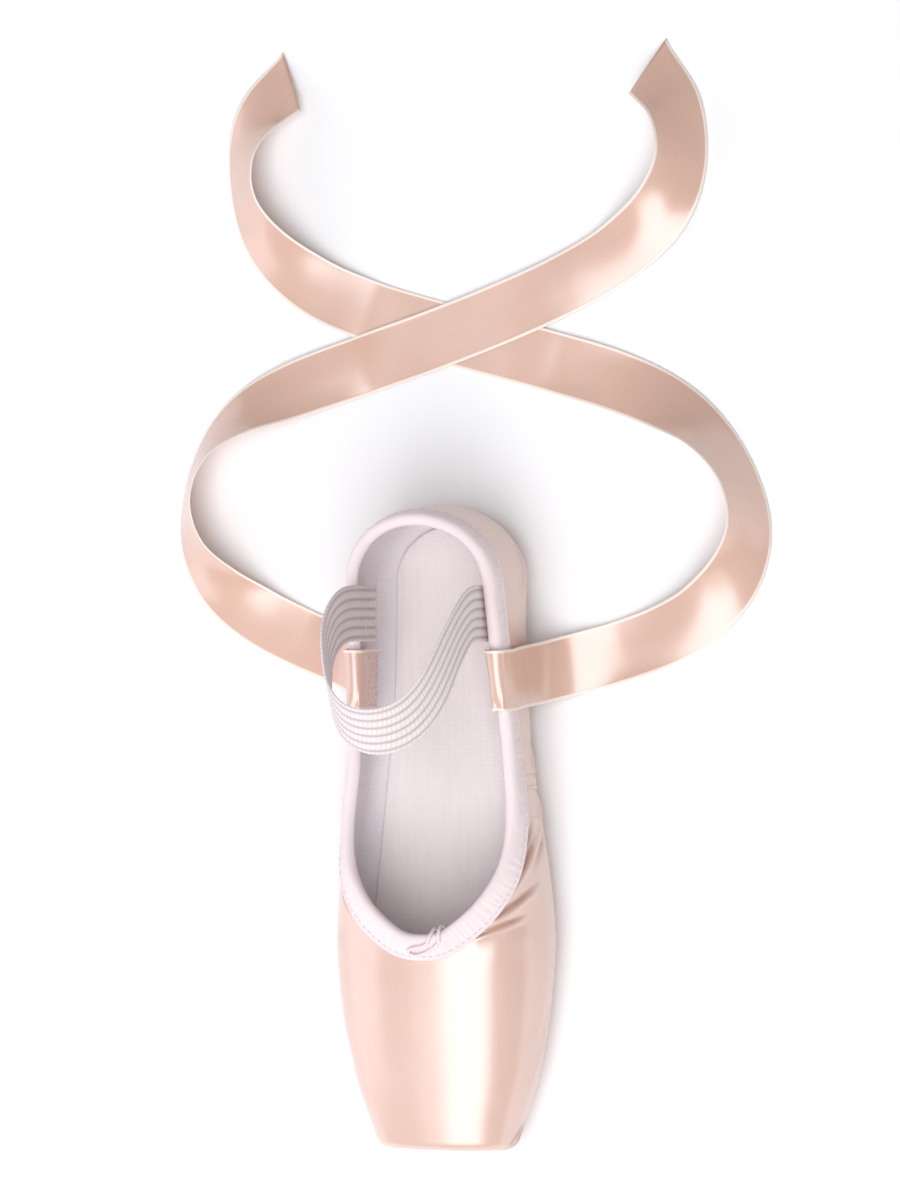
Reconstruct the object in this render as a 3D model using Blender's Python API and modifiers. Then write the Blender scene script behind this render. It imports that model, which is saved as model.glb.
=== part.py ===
"""Pointe shoe standing empty on its sole, as an assembly of its maker's pieces.

Units are metres, +Z is up, the toe points to -Y and the heel to +Y. The origin is on the floor under the
middle of the shoe. The last is straight, so the shoe fits either foot, and each half is the other's mirror.

The upper's outer face is one function, last_face(station, angle). A station is the distance behind the
platform at the toe; behind the heel's centre it goes on round the back of the heel. The angle goes round
one cross-section, from the middle of the underside (-90 degrees) over the widest line (0) to the middle of
the crown (+90 degrees). The casing, the soles, the elastic's ends and the seam take their places from it.
"""
import math

import bmesh
import bpy
import numpy as np

# Sizes of the whole shoe.
LENGTH = 0.230
BALL_WIDTH = 0.0790
HEEL_WIDTH = 0.0572
HEEL_DEPTH = 0.027
HEEL_HEIGHT = 0.053
THROAT_HEIGHT = 0.0465
VAMP_LENGTH = 0.076
THROAT_ROUND = 0.032
BULGE_HEIGHT = 0.016
HEEL_BULGE_HEIGHT = 0.018

# The flat end that the dancer stands on.
PLATFORM_WIDTH = 0.049
PLATFORM_HEIGHT = 0.0305
PLATFORM_EDGE_RADIUS = 0.0034

# Walls and clearances. The box is stiffened with paste, so its wall is thicker than the quarters'.
BOX_WALL = 0.0030
QUARTER_WALL = 0.0015
CLEARANCE = 0.0003

# How square the cross-sections are: 2 is an ellipse, and a larger number is boxier.
CROWN_SQUARENESS = 2.4
BOX_HEM_SQUARENESS = 3.6
HEEL_HEM_SQUARENESS = 3.0

# The side seam, where the quarters lie over the vamp as a step in the wall.
SEAM_STATION = 0.129
SEAM_STEP = 0.0005
SEAM_RAMP = 0.0010

# Leather outsole, with flat spots under the forefoot and the heel.
SOLE_THICKNESS = 0.0025
SOLE_BALL_WIDTH = 0.046
SOLE_WAIST_WIDTH = 0.028
SOLE_HEEL_WIDTH = 0.036
SOLE_TIP = 0.014
SOLE_TIP_ROUND = 0.026
SOLE_LAP = 0.005
SOLE_BEVEL = 0.0005
ARCH_RISE = 0.0026
FOREFOOT_FLAT_END = 0.100
HEEL_FLAT_START = 0.178
TOE_SPRING = 0.0009
TOE_SPRING_END = 0.028

# Insole, cupped to the inside of the upper.
INSOLE_THICKNESS = 0.0020
INSOLE_SHARE = 0.80
INSOLE_TOE = 0.012
INSOLE_TOE_ROUND = 0.022
INSOLE_CLEARANCE = 0.0005

# Casing: the bound edge of the opening, folded over the wall with a drawstring inside.
CASING_OUTSIDE = 0.0070
CASING_INSIDE = 0.0050
CASING_THICKNESS = 0.0008
CASING_RISE = 0.0022
CASING_LAP = 0.012
CASING_CLEARANCE = 0.0004

# Elastic over the ankle, sewn inside the quarters.
ELASTIC_WIDTH = 0.020
ELASTIC_THICKNESS = 0.0012
ELASTIC_STATION = 0.192
ELASTIC_TAB = 0.018
ELASTIC_REACH = 0.066
ELASTIC_LEAN = math.radians(38)
ELASTIC_SPREAD = 0.031

# Ribbons and drawstring.
RIBBON_WIDTH = 0.022
RIBBON_THICKNESS = 0.0005
RIBBON_FLOOR_GAP = 0.0002
DRAWSTRING_DIAMETER = 0.0013

HEEL_CENTRE = LENGTH - HEEL_DEPTH
HEEL_SWEEP = math.pi / 2 * (HEEL_DEPTH + HEEL_WIDTH / 2) / 2
BACK_STATION = HEEL_CENTRE + HEEL_SWEEP
PLATFORM_REACH = PLATFORM_WIDTH / 2
MIDDLE = (LENGTH + SEAM_STEP) / 2

# Box: from the platform to the throat. along is a share of the vamp's length, spread goes from the
# platform's width (0) to the ball's (1), and rise from the platform's height (0) to the throat's (1).
BOX = (
    # along, spread, rise
    (0.000, 0.000, 0.000),
    (0.105, 0.190, 0.170),
    (0.263, 0.470, 0.400),
    (0.526, 0.790, 0.680),
    (0.789, 0.955, 0.880),
    (1.000, 1.000, 1.000),
)

# Quarters: from the throat to the heel's centre. spread goes from the heel's width (0) to the ball's (1),
# and rise from the throat's height (0) to the crown that the heel's walls would close to (1).
QUARTERS = (
    # along, spread, rise
    (0.150, 0.865, 0.113),
    (0.346, 0.520, 0.283),
    (0.543, 0.175, 0.472),
    (0.740, 0.040, 0.698),
    (0.898, 0.005, 0.887),
    (1.000, 0.000, 1.000),
)

# Topline: how far up towards the section's crown the wall is cut, from the throat to the back of the heel.
TOPLINE = (
    # along, cut
    (0.000, 1.000),
    (0.029, 0.968),
    (0.094, 0.845),
    (0.152, 0.705),
    (0.234, 0.540),
    (0.316, 0.450),
    (0.410, 0.405),
    (0.551, 0.445),
    (0.668, 0.494),
    (0.744, 0.526),
    (0.870, 0.590),
    (0.950, 0.628),
    (1.000, 0.636),
)

# Outsole: width as a blend of its three named widths, along a share of its length to the heel's centre.
SOLE_OUTLINE = (
    # along, ball, waist, heel
    (0.00, 0.86, 0.14, 0.00),
    (0.14, 0.95, 0.05, 0.00),
    (0.30, 1.00, 0.00, 0.00),
    (0.46, 0.76, 0.24, 0.00),
    (0.64, 0.12, 0.88, 0.00),
    (0.76, 0.00, 0.98, 0.02),
    (0.88, 0.00, 0.50, 0.50),
    (1.00, 0.00, 0.00, 1.00),
)

# Ribbons: a flat cord's route out over the casing, down the quarter and along the floor. Lengths are in
# millimetres. low is the height of its lower edge, run the way it heads in plan, in degrees from +X, and
# lean how far its width is turned up from flat: it lies flat where it runs straight, and turns on edge.
RIBBON_ROUTES = {
    "ribbon_right": (
        # x, y, low, run, lean
        (25.2, 53.0, 17.5, 3, 14),
        (24.6, 53.0, 24.0, 3, 14),
        (23.8, 53.0, 30.5, 3, 14),
        (23.5, 53.0, 35.6, 3, 14),
        (24.2, 53.0, 38.9, 3, 14),
        (26.5, 53.0, 40.1, 3, 14),
        (29.1, 53.0, 39.0, 3, 14),
        (30.4, 53.1, 35.4, 3, 14),
        (31.2, 53.3, 31.0, 3, 14),
        (31.7, 54.0, 25.0, 3, 13),
        (32.5, 54.6, 18.0, 4, 11),
        (35.0, 55.6, 9.5, 6, 8),
        (41.0, 57.5, 3.6, 10, 5),
        (50.0, 60.0, 0.9, 14, 3),
        (62.0, 63.5, 0.2, 18, 0),
        (77.0, 69.0, 0.2, 24, 3),
        (92.0, 77.5, 0.2, 36, 16),
        (104.0, 90.5, 0.2, 56, 36),
        (109.5, 107.0, 0.2, 82, 56),
        (106.0, 124.5, 0.2, 108, 64),
        (95.0, 140.0, 0.2, 130, 52),
        (79.0, 151.5, 0.2, 148, 28),
        (59.0, 160.0, 0.2, 159, 8),
        (36.0, 167.0, 0.2, 164, 0),
        (12.0, 173.5, 0.2, 165, 0),
        (-12.0, 180.0, 0.2, 165, 0),
        (-35.0, 187.0, 0.2, 160, 0),
        (-55.0, 196.0, 0.2, 150, -8),
        (-71.0, 209.5, 0.2, 128, -30),
        (-80.0, 226.0, 0.2, 104, -48),
        (-81.0, 243.5, 0.2, 84, -46),
        (-75.0, 259.0, 0.2, 62, -26),
        (-64.0, 271.0, 0.2, 48, -8),
    ),
    "ribbon_left": (
        # x, y, low, run, lean
        (-25.2, 53.0, 17.5, 177, -14),
        (-24.6, 53.0, 24.0, 177, -14),
        (-23.8, 53.0, 30.5, 177, -14),
        (-23.5, 53.0, 35.6, 177, -14),
        (-24.2, 53.0, 38.9, 177, -14),
        (-26.5, 53.0, 40.1, 177, -14),
        (-29.1, 53.0, 39.0, 177, -14),
        (-30.4, 53.1, 35.4, 177, -14),
        (-31.2, 53.3, 31.0, 177, -14),
        (-31.7, 54.0, 25.0, 177, -13),
        (-32.5, 54.8, 18.0, 175, -11),
        (-34.8, 56.2, 9.5, 172, -8),
        (-40.4, 59.0, 3.6, 167, -5),
        (-49.0, 62.8, 0.9, 160, -3),
        (-61.0, 67.5, 0.2, 154, 0),
        (-76.0, 75.0, 0.2, 148, -5),
        (-90.0, 86.0, 0.2, 132, -24),
        (-100.0, 101.5, 0.2, 107, -48),
        (-102.0, 119.5, 0.2, 82, -64),
        (-95.5, 136.0, 0.2, 58, -60),
        (-81.5, 149.0, 0.2, 38, -38),
        (-61.5, 158.5, 0.7, 24, -12),
        (-37.0, 167.0, 1.1, 19, 0),
        (-11.0, 175.5, 1.3, 19, 0),
        (14.0, 184.5, 1.3, 21, 0),
        (38.0, 194.5, 1.1, 25, 0),
        (60.0, 206.5, 0.4, 34, 6),
        (76.5, 221.0, 0.2, 52, 28),
        (84.5, 239.0, 0.2, 80, 46),
        (82.0, 257.5, 0.2, 108, 40),
        (71.5, 272.5, 0.2, 132, 16),
    ),
}

# Drawstring: the loop that comes over the edge at the throat and lies on the casing. Lengths are in millimetres.
DRAWSTRING_ROUTE = (
    (9.0, -36.6, 41.4),
    (7.2, -34.0, 44.5),
    (7.4, -35.9, 48.7),
    (7.4, -39.4, 48.9),
    (5.2, -41.7, 48.6),
    (2.0, -43.5, 48.4),
    (-1.4, -44.4, 48.2),
    (-3.5, -43.9, 48.2),
    (-3.9, -42.7, 48.4),
    (-2.2, -41.8, 48.6),
    (0.7, -41.2, 48.8),
    (3.1, -40.0, 49.0),
    (4.3, -36.9, 48.7),
    (4.8, -35.0, 44.5),
    (6.0, -38.0, 41.4),
)

# Colour, roughness and metallic value of each piece.
FINISHES = {
    "satin": ((0.86, 0.62, 0.54, 1), 0.32),
    "suede": ((0.72, 0.52, 0.42, 1), 0.90),
    "canvas": ((0.86, 0.80, 0.72, 1), 0.85),
    "cotton_tape": ((0.90, 0.76, 0.78, 1), 0.70),
    "elastic": ((0.90, 0.85, 0.84, 1), 0.75),
    "cord": ((0.92, 0.86, 0.80, 1), 0.60),
}


def smooth_step(value):
    """0 below 0, 1 above 1, and an S-shaped rise between."""
    value = np.clip(value, 0, 1)
    return value * value * (3 - 2 * value)


def smooth_curve(knots, values, at):
    """A cubic through the values, with each knot's slope taken from its neighbours."""
    knots, values, at = np.asarray(knots, float), np.asarray(values, float), np.asarray(at, float)
    slopes = np.gradient(values, knots)
    i = np.clip(np.searchsorted(knots, at, side="right") - 1, 0, len(knots) - 2)
    span = knots[i + 1] - knots[i]
    t = np.clip((at - knots[i]) / span, 0, 1)
    start = values[i] * (1 + 2 * t) * (1 - t) ** 2 + span * slopes[i] * t * (1 - t) ** 2
    end = values[i + 1] * t * t * (3 - 2 * t) - span * slopes[i + 1] * t * t * (1 - t)
    return start + end


def mix(low, high, share):
    return low + (high - low) * share


def section_table():
    """The sections' stations, half widths and crown heights, in metres, from the two tables of shares."""
    heel_crown = HEEL_BULGE_HEIGHT + (HEEL_HEIGHT - HEEL_BULGE_HEIGHT) / TOPLINE[-1][1]
    rows = [
        (
            along * VAMP_LENGTH,
            mix(PLATFORM_WIDTH, BALL_WIDTH, spread) / 2,
            mix(PLATFORM_HEIGHT, THROAT_HEIGHT, rise),
        )
        for along, spread, rise in BOX
    ]
    rows += [
        (
            mix(VAMP_LENGTH, HEEL_CENTRE, along),
            mix(HEEL_WIDTH, BALL_WIDTH, spread) / 2,
            mix(THROAT_HEIGHT, heel_crown, rise),
        )
        for along, spread, rise in QUARTERS
    ]
    return np.array(rows).T


SECTION_STATIONS, SECTION_HALF_WIDTHS, SECTION_CROWNS = section_table()


def lift(along):
    """Height of the sole's underside: 0 on the flat spots, raised under the arch and at the toe."""
    waist = np.clip((along - FOREFOOT_FLAT_END) / (HEEL_FLAT_START - FOREFOOT_FLAT_END), 0, 1)
    toe = np.clip(1 - along / TOE_SPRING_END, 0, 1)
    return ARCH_RISE * np.sin(math.pi * waist) ** 2 + TOE_SPRING * toe**2


def towards_heel(along):
    """0 in the box, 1 at the heel's centre."""
    return smooth_step((along - VAMP_LENGTH) / (HEEL_CENTRE - VAMP_LENGTH))


def section(along):
    """Half width, bulge height, crown height, underside height and hem squareness of a section."""
    half = smooth_curve(SECTION_STATIONS, SECTION_HALF_WIDTHS, along)
    crown = smooth_curve(SECTION_STATIONS, SECTION_CROWNS, along)
    bulge = mix(BULGE_HEIGHT, HEEL_BULGE_HEIGHT, towards_heel(along))
    base = SOLE_THICKNESS + CLEARANCE + lift(along)
    hem = mix(BOX_HEM_SQUARENESS, HEEL_HEM_SQUARENESS, towards_heel(along))
    return half, bulge, crown, base, hem


def lap(station):
    """How far the quarters stand outside the vamp: a step at the side seam."""
    return SEAM_STEP * smooth_step((station - SEAM_STATION) / SEAM_RAMP)


def last_face(station, angle):
    """A point of the upper's outer face, as an array (..., 3).

    A section is a superellipse in polar form: its radius is 1 / (|cos|^n + |sin|^n)^(1/n), stretched by the
    half width sideways and by the heights above and below the bulge. At the toe it draws in round the
    platform's edge, and behind the heel's centre it swings round an upright axis.
    """
    station, angle = np.broadcast_arrays(np.asarray(station, float), np.asarray(angle, float))
    along = np.clip(station, 0, HEEL_CENTRE)
    half, bulge, crown, base, hem = section(along)
    turn = np.clip(1 - station / PLATFORM_EDGE_RADIUS, 0, 1) * math.pi / 2
    draw_in = PLATFORM_EDGE_RADIUS * (1 - np.cos(turn))
    distance = np.where(station < PLATFORM_EDGE_RADIUS, PLATFORM_EDGE_RADIUS * (1 - np.sin(turn)), along)
    scale = np.clip(1 + station / PLATFORM_REACH, 0, 1)
    above = np.sin(angle) > 0
    power = np.where(above, CROWN_SQUARENESS, hem)
    cosine, sine = np.abs(np.cos(angle)), np.abs(np.sin(angle))
    radius = (cosine**power + sine**power) ** (-1 / power) * scale
    side = (half - draw_in + lap(station)) * radius * np.cos(angle)
    reach = np.where(above, crown - bulge + lap(station), bulge - base) - draw_in
    height = bulge + reach * radius * np.sin(angle)
    swing = np.clip((station - HEEL_CENTRE) / HEEL_SWEEP, 0, 1) * math.pi / 2
    x = side * np.cos(swing)
    y = distance + side * np.sin(swing) * HEEL_DEPTH / (HEEL_WIDTH / 2) - MIDDLE
    return np.stack([x, y, height], axis=-1)


def outward(station, angle):
    """Unit normal of the outer face, from two small steps on it."""
    step = 1e-5
    along = last_face(station + step, angle) - last_face(station - step, angle)
    around = last_face(station, angle + step) - last_face(station, angle - step)
    normal = np.cross(along, around)
    return normal / np.linalg.norm(normal, axis=-1, keepdims=True)


def wall(along):
    """Thickness of the upper: the pasted box, thinning to the quarters by the throat."""
    return mix(BOX_WALL, QUARTER_WALL, smooth_step((along - SOLE_TIP) / (VAMP_LENGTH - SOLE_TIP)))


def topline_angle(station):
    """The angle at which a section ends at the opening; +90 degrees where the vamp is closed."""
    share = (np.asarray(station, float) - VAMP_LENGTH) / (BACK_STATION - VAMP_LENGTH)
    along, cut = np.array(TOPLINE).T
    k = np.clip(smooth_curve(along, cut, np.clip(share, 0, 1)), 0, 1 - 1e-9)
    k = k**CROWN_SQUARENESS
    angle = np.arctan((k / (1 - k)) ** (1 / CROWN_SQUARENESS))
    return np.where(share <= 0, math.pi / 2, angle)


def sole_half_width(along, inset=0.0):
    """Half width of the outsole, or of its outline `inset` further in, at a distance behind the platform."""
    shares = np.array(SOLE_OUTLINE)
    widths = shares[:, 1:] @ np.array([SOLE_BALL_WIDTH, SOLE_WAIST_WIDTH, SOLE_HEEL_WIDTH])
    share = np.clip((along - SOLE_TIP) / (HEEL_CENTRE - SOLE_TIP), 0, 1)
    half = smooth_curve(shares[:, 0], widths, share) / 2 - inset
    front = np.clip((along - SOLE_TIP - inset) / (SOLE_TIP_ROUND - inset), 0, 1)
    back = (along - HEEL_CENTRE) / (half * HEEL_DEPTH / (HEEL_WIDTH / 2))
    return half * np.sqrt(1 - (1 - front) ** 2) * np.sqrt(1 - np.clip(back, 0, 1) ** 2)


def sole_back():
    """Distance behind the platform at which the outsole ends."""
    return HEEL_CENTRE + SOLE_HEEL_WIDTH / 2 * HEEL_DEPTH / (HEEL_WIDTH / 2)


def hem_angle(station):
    """The angle at which a section ends at the hole over the outsole; -90 degrees where the toe is closed."""
    along = np.clip(station, 0, HEEL_CENTRE)
    half, _, _, _, hem = section(along)
    share = np.clip(sole_half_width(along, SOLE_LAP) / (half + lap(along)), 1e-6, 1)
    angle = -np.arctan((share**-hem - 1) ** (1 / hem))
    return np.where(station <= SOLE_TIP + SOLE_LAP, -math.pi / 2, angle)


def underside(x, along, inset=0.0):
    """Height of the upper's underside, or of its inner face, over a point of the plan."""
    half, bulge, _, base, hem = section(np.minimum(along, HEEL_CENTRE))
    behind = np.maximum(along - HEEL_CENTRE, 0) * (HEEL_WIDTH / 2) / HEEL_DEPTH
    share = np.clip(np.hypot(x, behind) / (half + lap(along) - inset), 0, 1)
    return bulge - (bulge - base - inset) * (1 - share**hem) ** (1 / hem)


def eased(start, end, count):
    """Stations crowded at the start, where an opening's edge turns."""
    return start + (end - start) * (np.arange(count) / count) ** 2


def topline_stations():
    """Stations round the opening, from the throat to the back of the heel, where the wall and casing bend."""
    round_throat = VAMP_LENGTH + THROAT_ROUND
    return np.concatenate(
        [
            eased(VAMP_LENGTH, round_throat, 10),
            np.linspace(round_throat, SEAM_STATION, 4),
            np.linspace(SEAM_STATION + SEAM_RAMP, HEEL_CENTRE, 9),
            np.linspace(HEEL_CENTRE, BACK_STATION, 9)[1:],
        ]
    )


def material(name):
    colour, roughness = FINISHES[name]
    made = bpy.data.materials.get(name) or bpy.data.materials.new(name)
    made.use_nodes = True
    shader = made.node_tree.nodes["Principled BSDF"]
    shader.inputs["Base Color"].default_value = colour
    shader.inputs["Roughness"].default_value = roughness
    shader.inputs["Metallic"].default_value = 0.0
    return made


def new_object(name, points, faces, finish, smooth_angle=40):
    """A mesh object with doubles merged, in the shoe's collection."""
    mesh = bpy.data.meshes.new(name)
    mesh.from_pydata(np.asarray(points, float).reshape(-1, 3).tolist(), [], faces)
    shape = bmesh.new()
    shape.from_mesh(mesh)
    bmesh.ops.remove_doubles(shape, verts=shape.verts, dist=1e-7)
    shape.to_mesh(mesh)
    shape.free()
    mesh.shade_smooth()
    mesh.set_sharp_from_angle(angle=math.radians(smooth_angle))
    mesh.materials.append(material(finish))
    made = bpy.data.objects.new(name, mesh)
    bpy.data.collections["pointe_shoe"].objects.link(made)
    return made


def grid_faces(rows, columns, around=False):
    """Quads of a grid of points, closed round its columns if `around` is set."""
    faces = []
    for i in range(rows - 1):
        for j in range(columns if around else columns - 1):
            k = (j + 1) % columns
            faces.append((i * columns + j, (i + 1) * columns + j, (i + 1) * columns + k, i * columns + k))
    return faces


def mirror_halves(made):
    """The other half of a piece that is open at the plane X = 0."""
    mirror = made.modifiers.new("other half", "MIRROR")
    mirror.merge_threshold = 0.00001


def make_upper():
    """Satin upper: half of its outer face as a grid, mirrored, with the wall grown inwards by Solidify."""
    opening = SOLE_TIP + SOLE_LAP
    opening_end = opening + SOLE_TIP_ROUND * 0.7
    stations = np.concatenate(
        [
            [-PLATFORM_REACH, -PLATFORM_REACH / 2, -PLATFORM_REACH / 8],
            np.linspace(0, PLATFORM_EDGE_RADIUS, 4),
            np.linspace(PLATFORM_EDGE_RADIUS, opening, 4)[1:-1],
            eased(opening, opening_end, 5),
            np.linspace(opening_end, VAMP_LENGTH, 6)[:-1],
            topline_stations(),
        ]
    )
    shares = np.linspace(0, 1, 14)
    low, high = hem_angle(stations)[:, None], topline_angle(stations)[:, None]
    angles = mix(low, high, shares)
    points = last_face(stations[:, None], angles)
    on_plane = np.abs(points[..., 0]) < 1e-6
    points[..., 0][on_plane] = 0
    upper = new_object("upper", points, grid_faces(*points.shape[:2]), "satin")
    paste = upper.vertex_groups.new(name="paste")
    for vertex in upper.data.vertices:
        thickness = wall(vertex.co.y + MIDDLE)
        paste.add([vertex.index], float(thickness) / BOX_WALL, "REPLACE")
    mirror_halves(upper)
    shell = upper.modifiers.new("wall", "SOLIDIFY")
    shell.thickness = BOX_WALL
    shell.offset = -1
    shell.vertex_group = "paste"
    return upper


def slab(name, finish, alongs, half_widths, lower, upper):
    """Half of a plate between two height functions of (x, along), then mirrored."""
    shares = np.linspace(0, 1, 6)
    x = half_widths[:, None] * shares
    y = np.broadcast_to(alongs[:, None] - MIDDLE, x.shape)
    top = np.stack([x, y, upper(x, alongs[:, None])], axis=-1)
    bottom = np.stack([x, y, lower(x, alongs[:, None])], axis=-1)
    points = np.concatenate([top, bottom[:, ::-1]], axis=1)
    columns = points.shape[1]
    faces = [face[::-1] for face in grid_faces(len(alongs), columns)]
    made = new_object(name, points, faces, finish)
    mirror_halves(made)
    return made


def plate_stations(front, front_round, back, back_round):
    """Stations crowded at both ends, where the outline turns."""
    return np.concatenate(
        [
            eased(front, front + front_round, 7),
            np.linspace(front + front_round, back - back_round, 16),
            back - (eased(0, back_round, 7))[::-1],
        ]
    )


def make_outsole():
    """Thin leather outsole under the hem, with its top face a clearance under the upper."""
    heel_round = sole_back() - HEEL_CENTRE
    alongs = plate_stations(SOLE_TIP, SOLE_TIP_ROUND, sole_back(), heel_round)
    outsole = slab(
        "outsole",
        "suede",
        alongs,
        sole_half_width(alongs),
        lambda x, along: np.broadcast_to(lift(along), x.shape),
        lambda x, along: underside(x, along) - CLEARANCE,
    )
    bevel = outsole.modifiers.new("worn edge", "BEVEL")
    bevel.width = SOLE_BEVEL
    bevel.segments = 1
    bevel.limit_method = "ANGLE"
    bevel.angle_limit = math.radians(50)
    return outsole


def insole_half_width(along):
    """The insole's outline, drawn in from the upper's inner face."""
    half = section(np.minimum(along, HEEL_CENTRE))[0] - wall(along)
    front = np.clip((along - INSOLE_TOE) / INSOLE_TOE_ROUND, 0, 1)
    depth = (HEEL_DEPTH - QUARTER_WALL) * INSOLE_SHARE
    back = np.clip((along - HEEL_CENTRE) / depth, 0, 1)
    return half * INSOLE_SHARE * np.sqrt(1 - (1 - front) ** 2) * np.sqrt(1 - back**2)


def make_insole():
    """Insole, cupped to the inner face of the upper's underside and a clearance above it."""
    depth = (HEEL_DEPTH - QUARTER_WALL) * INSOLE_SHARE
    alongs = plate_stations(INSOLE_TOE, INSOLE_TOE_ROUND, HEEL_CENTRE + depth, depth)

    def rest(x, along):
        return underside(x, along, wall(along)) + INSOLE_CLEARANCE

    return slab(
        "insole",
        "canvas",
        alongs,
        insole_half_width(alongs),
        rest,
        lambda x, along: rest(x, along) + INSOLE_THICKNESS,
    )


def topline_frames(stations):
    """For each station of the topline: its angle, the steps of station and angle that lead one metre down
    the face, the outward normal and the way down."""
    step = 1e-5
    angles = topline_angle(stations)
    tangent = last_face(stations + step, topline_angle(stations + step))
    tangent -= last_face(stations - step, topline_angle(stations - step))
    inside = np.clip(stations, -np.inf, BACK_STATION - step)
    steepest = np.minimum(angles, math.pi / 2 - step)
    normal = outward(inside, steepest)
    middle = (stations <= VAMP_LENGTH) | (stations >= BACK_STATION)
    tangent[middle] = np.where(stations[middle, None] <= VAMP_LENGTH, (1, 0, 0), (-1, 0, 0))
    normal[middle, 0] = 0
    down = np.cross(tangent, normal)
    down /= np.linalg.norm(down, axis=1, keepdims=True)
    along = (last_face(inside + step, angles) - last_face(inside - step, angles)) / (2 * step)
    around = (last_face(inside, angles + step) - last_face(inside, angles - step)) / (2 * step)
    steps = [
        np.linalg.lstsq(np.stack(pair, axis=1), way, rcond=None)[0]
        for *pair, way in zip(along, around, down)
    ]
    return angles, np.array(steps), normal, down


def casing_rings(stations):
    """The casing's cross-section at each station: a channel folded over the wall, following its faces."""
    angles, steps, normal, down = topline_frames(stations)
    outer = CASING_CLEARANCE + CASING_THICKNESS
    inner = -QUARTER_WALL - outer
    # Over the seam's step the tape ramps slowly: ahead of the step outside the wall, and behind it inside.
    early = SEAM_STEP * smooth_step((stations - SEAM_STATION + 1.5 * CASING_LAP) / CASING_LAP)
    late = SEAM_STEP * smooth_step((stations - SEAM_STATION - 0.5 * CASING_LAP) / CASING_LAP)
    profile = (
        # out from the face, down from the topline
        (outer - CASING_THICKNESS / 2, CASING_OUTSIDE),
        (outer, CASING_OUTSIDE * 0.9),
        (outer, CASING_OUTSIDE * 0.35),
        (outer + CASING_THICKNESS * 0.4, 0),
        (outer * 0.6, -CASING_RISE * 0.75),
        (-QUARTER_WALL / 2, -CASING_RISE),
        (inner - CASING_THICKNESS * 0.4, -CASING_RISE * 0.5),
        (inner, CASING_INSIDE * 0.4),
        (inner, CASING_INSIDE),
        (inner + CASING_THICKNESS, CASING_INSIDE),
        (-QUARTER_WALL - CASING_CLEARANCE, -CASING_CLEARANCE),
        (CASING_CLEARANCE, -CASING_CLEARANCE),
        (CASING_CLEARANCE, CASING_OUTSIDE * 0.5),
        (CASING_CLEARANCE, CASING_OUTSIDE),
    )
    middle = (stations <= VAMP_LENGTH) | (stations >= BACK_STATION)
    rings = []
    for out, depth in profile:
        below = max(depth, 0.0)
        at = stations + steps[:, 0] * below
        angle = angles + steps[:, 1] * below
        face = last_face(at, angle)
        facing = outward(np.minimum(at, BACK_STATION - 1e-5), np.minimum(angle, math.pi / 2 - 1e-5))
        face[middle, 0] = 0
        facing[middle, 0] = 0
        ramp = (early if out > 0 else late) - lap(at)
        rings.append(face + facing * (out + ramp)[:, None] + down * min(depth, 0.0))
    return np.stack(rings, axis=1)


def make_casing():
    """Bias tape folded over the topline and swept round the opening."""
    points = casing_rings(topline_stations())
    casing = new_object("casing", points, grid_faces(*points.shape[:2], around=True), "cotton_tape")
    mirror_halves(casing)
    return casing


def band(name, finish, centres, widths, width, thickness):
    """A flat strip with closed ends, swept along its centres with its width along the given directions."""
    tangents = np.gradient(centres, axis=0)
    tangents /= np.linalg.norm(tangents, axis=1, keepdims=True)
    widths = widths - tangents * np.sum(widths * tangents, axis=1, keepdims=True)
    widths /= np.linalg.norm(widths, axis=1, keepdims=True)
    normals = np.cross(tangents, widths)
    corners = ((-1, -1), (1, -1), (1, 1), (-1, 1))
    rings = [centres + widths * a * width / 2 + normals * b * thickness / 2 for a, b in corners]
    points = np.stack(rings, axis=1)
    last = 4 * (len(centres) - 1)
    faces = [(3, 2, 1, 0), (last, last + 1, last + 2, last + 3)]
    for k, (a, b, c, d) in enumerate(grid_faces(len(centres), 4, around=True)):
        # Both broad faces are cut along the same diagonal, so a twisted strip keeps its thickness.
        faces += [(c, b, a), (d, c, a)] if k % 4 == 0 else [(d, b, a), (d, c, b)]
    return new_object(name, points, faces, finish, smooth_angle=30)


def make_elastic():
    """Ankle elastic: two ends inside the quarters, and an arch between them that leans towards the toe."""
    half = ELASTIC_WIDTH / 2
    casing = casing_rings(np.linspace(ELASTIC_STATION - half, ELASTIC_STATION + half, 9))
    foot_x = casing[..., 0].min() - CLEARANCE - ELASTIC_THICKNESS / 2
    foot_y = ELASTIC_STATION - MIDDLE
    clear_z = casing[..., 2].max()
    foot_z = clear_z - ELASTIC_TAB
    turns = np.linspace(0, math.pi, 33)
    arch_x = foot_x * np.cos(turns) + (ELASTIC_SPREAD - foot_x) * np.cos(turns) * np.sin(turns)
    climb = ELASTIC_REACH * np.sin(turns)
    leaning = smooth_step(np.sin(turns)) * ELASTIC_LEAN
    arch_y = foot_y - climb * np.sin(leaning)
    arch_z = clear_z + climb * np.cos(leaning)
    arch = np.stack([arch_x, arch_y, arch_z], axis=1)
    tab_z = np.linspace(foot_z, clear_z, 5)[:-1]
    tab = np.stack([np.full(4, foot_x), np.full(4, foot_y), tab_z], axis=1)
    centres = np.concatenate([tab, arch, (tab * (-1, 1, 1))[::-1]])
    lean = np.concatenate([np.zeros(4), leaning, np.zeros(4)])
    widths = np.stack([np.zeros_like(lean), np.cos(lean), np.sin(lean)], axis=1)
    return band("elastic", "elastic", centres, widths, ELASTIC_WIDTH, ELASTIC_THICKNESS)


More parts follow.
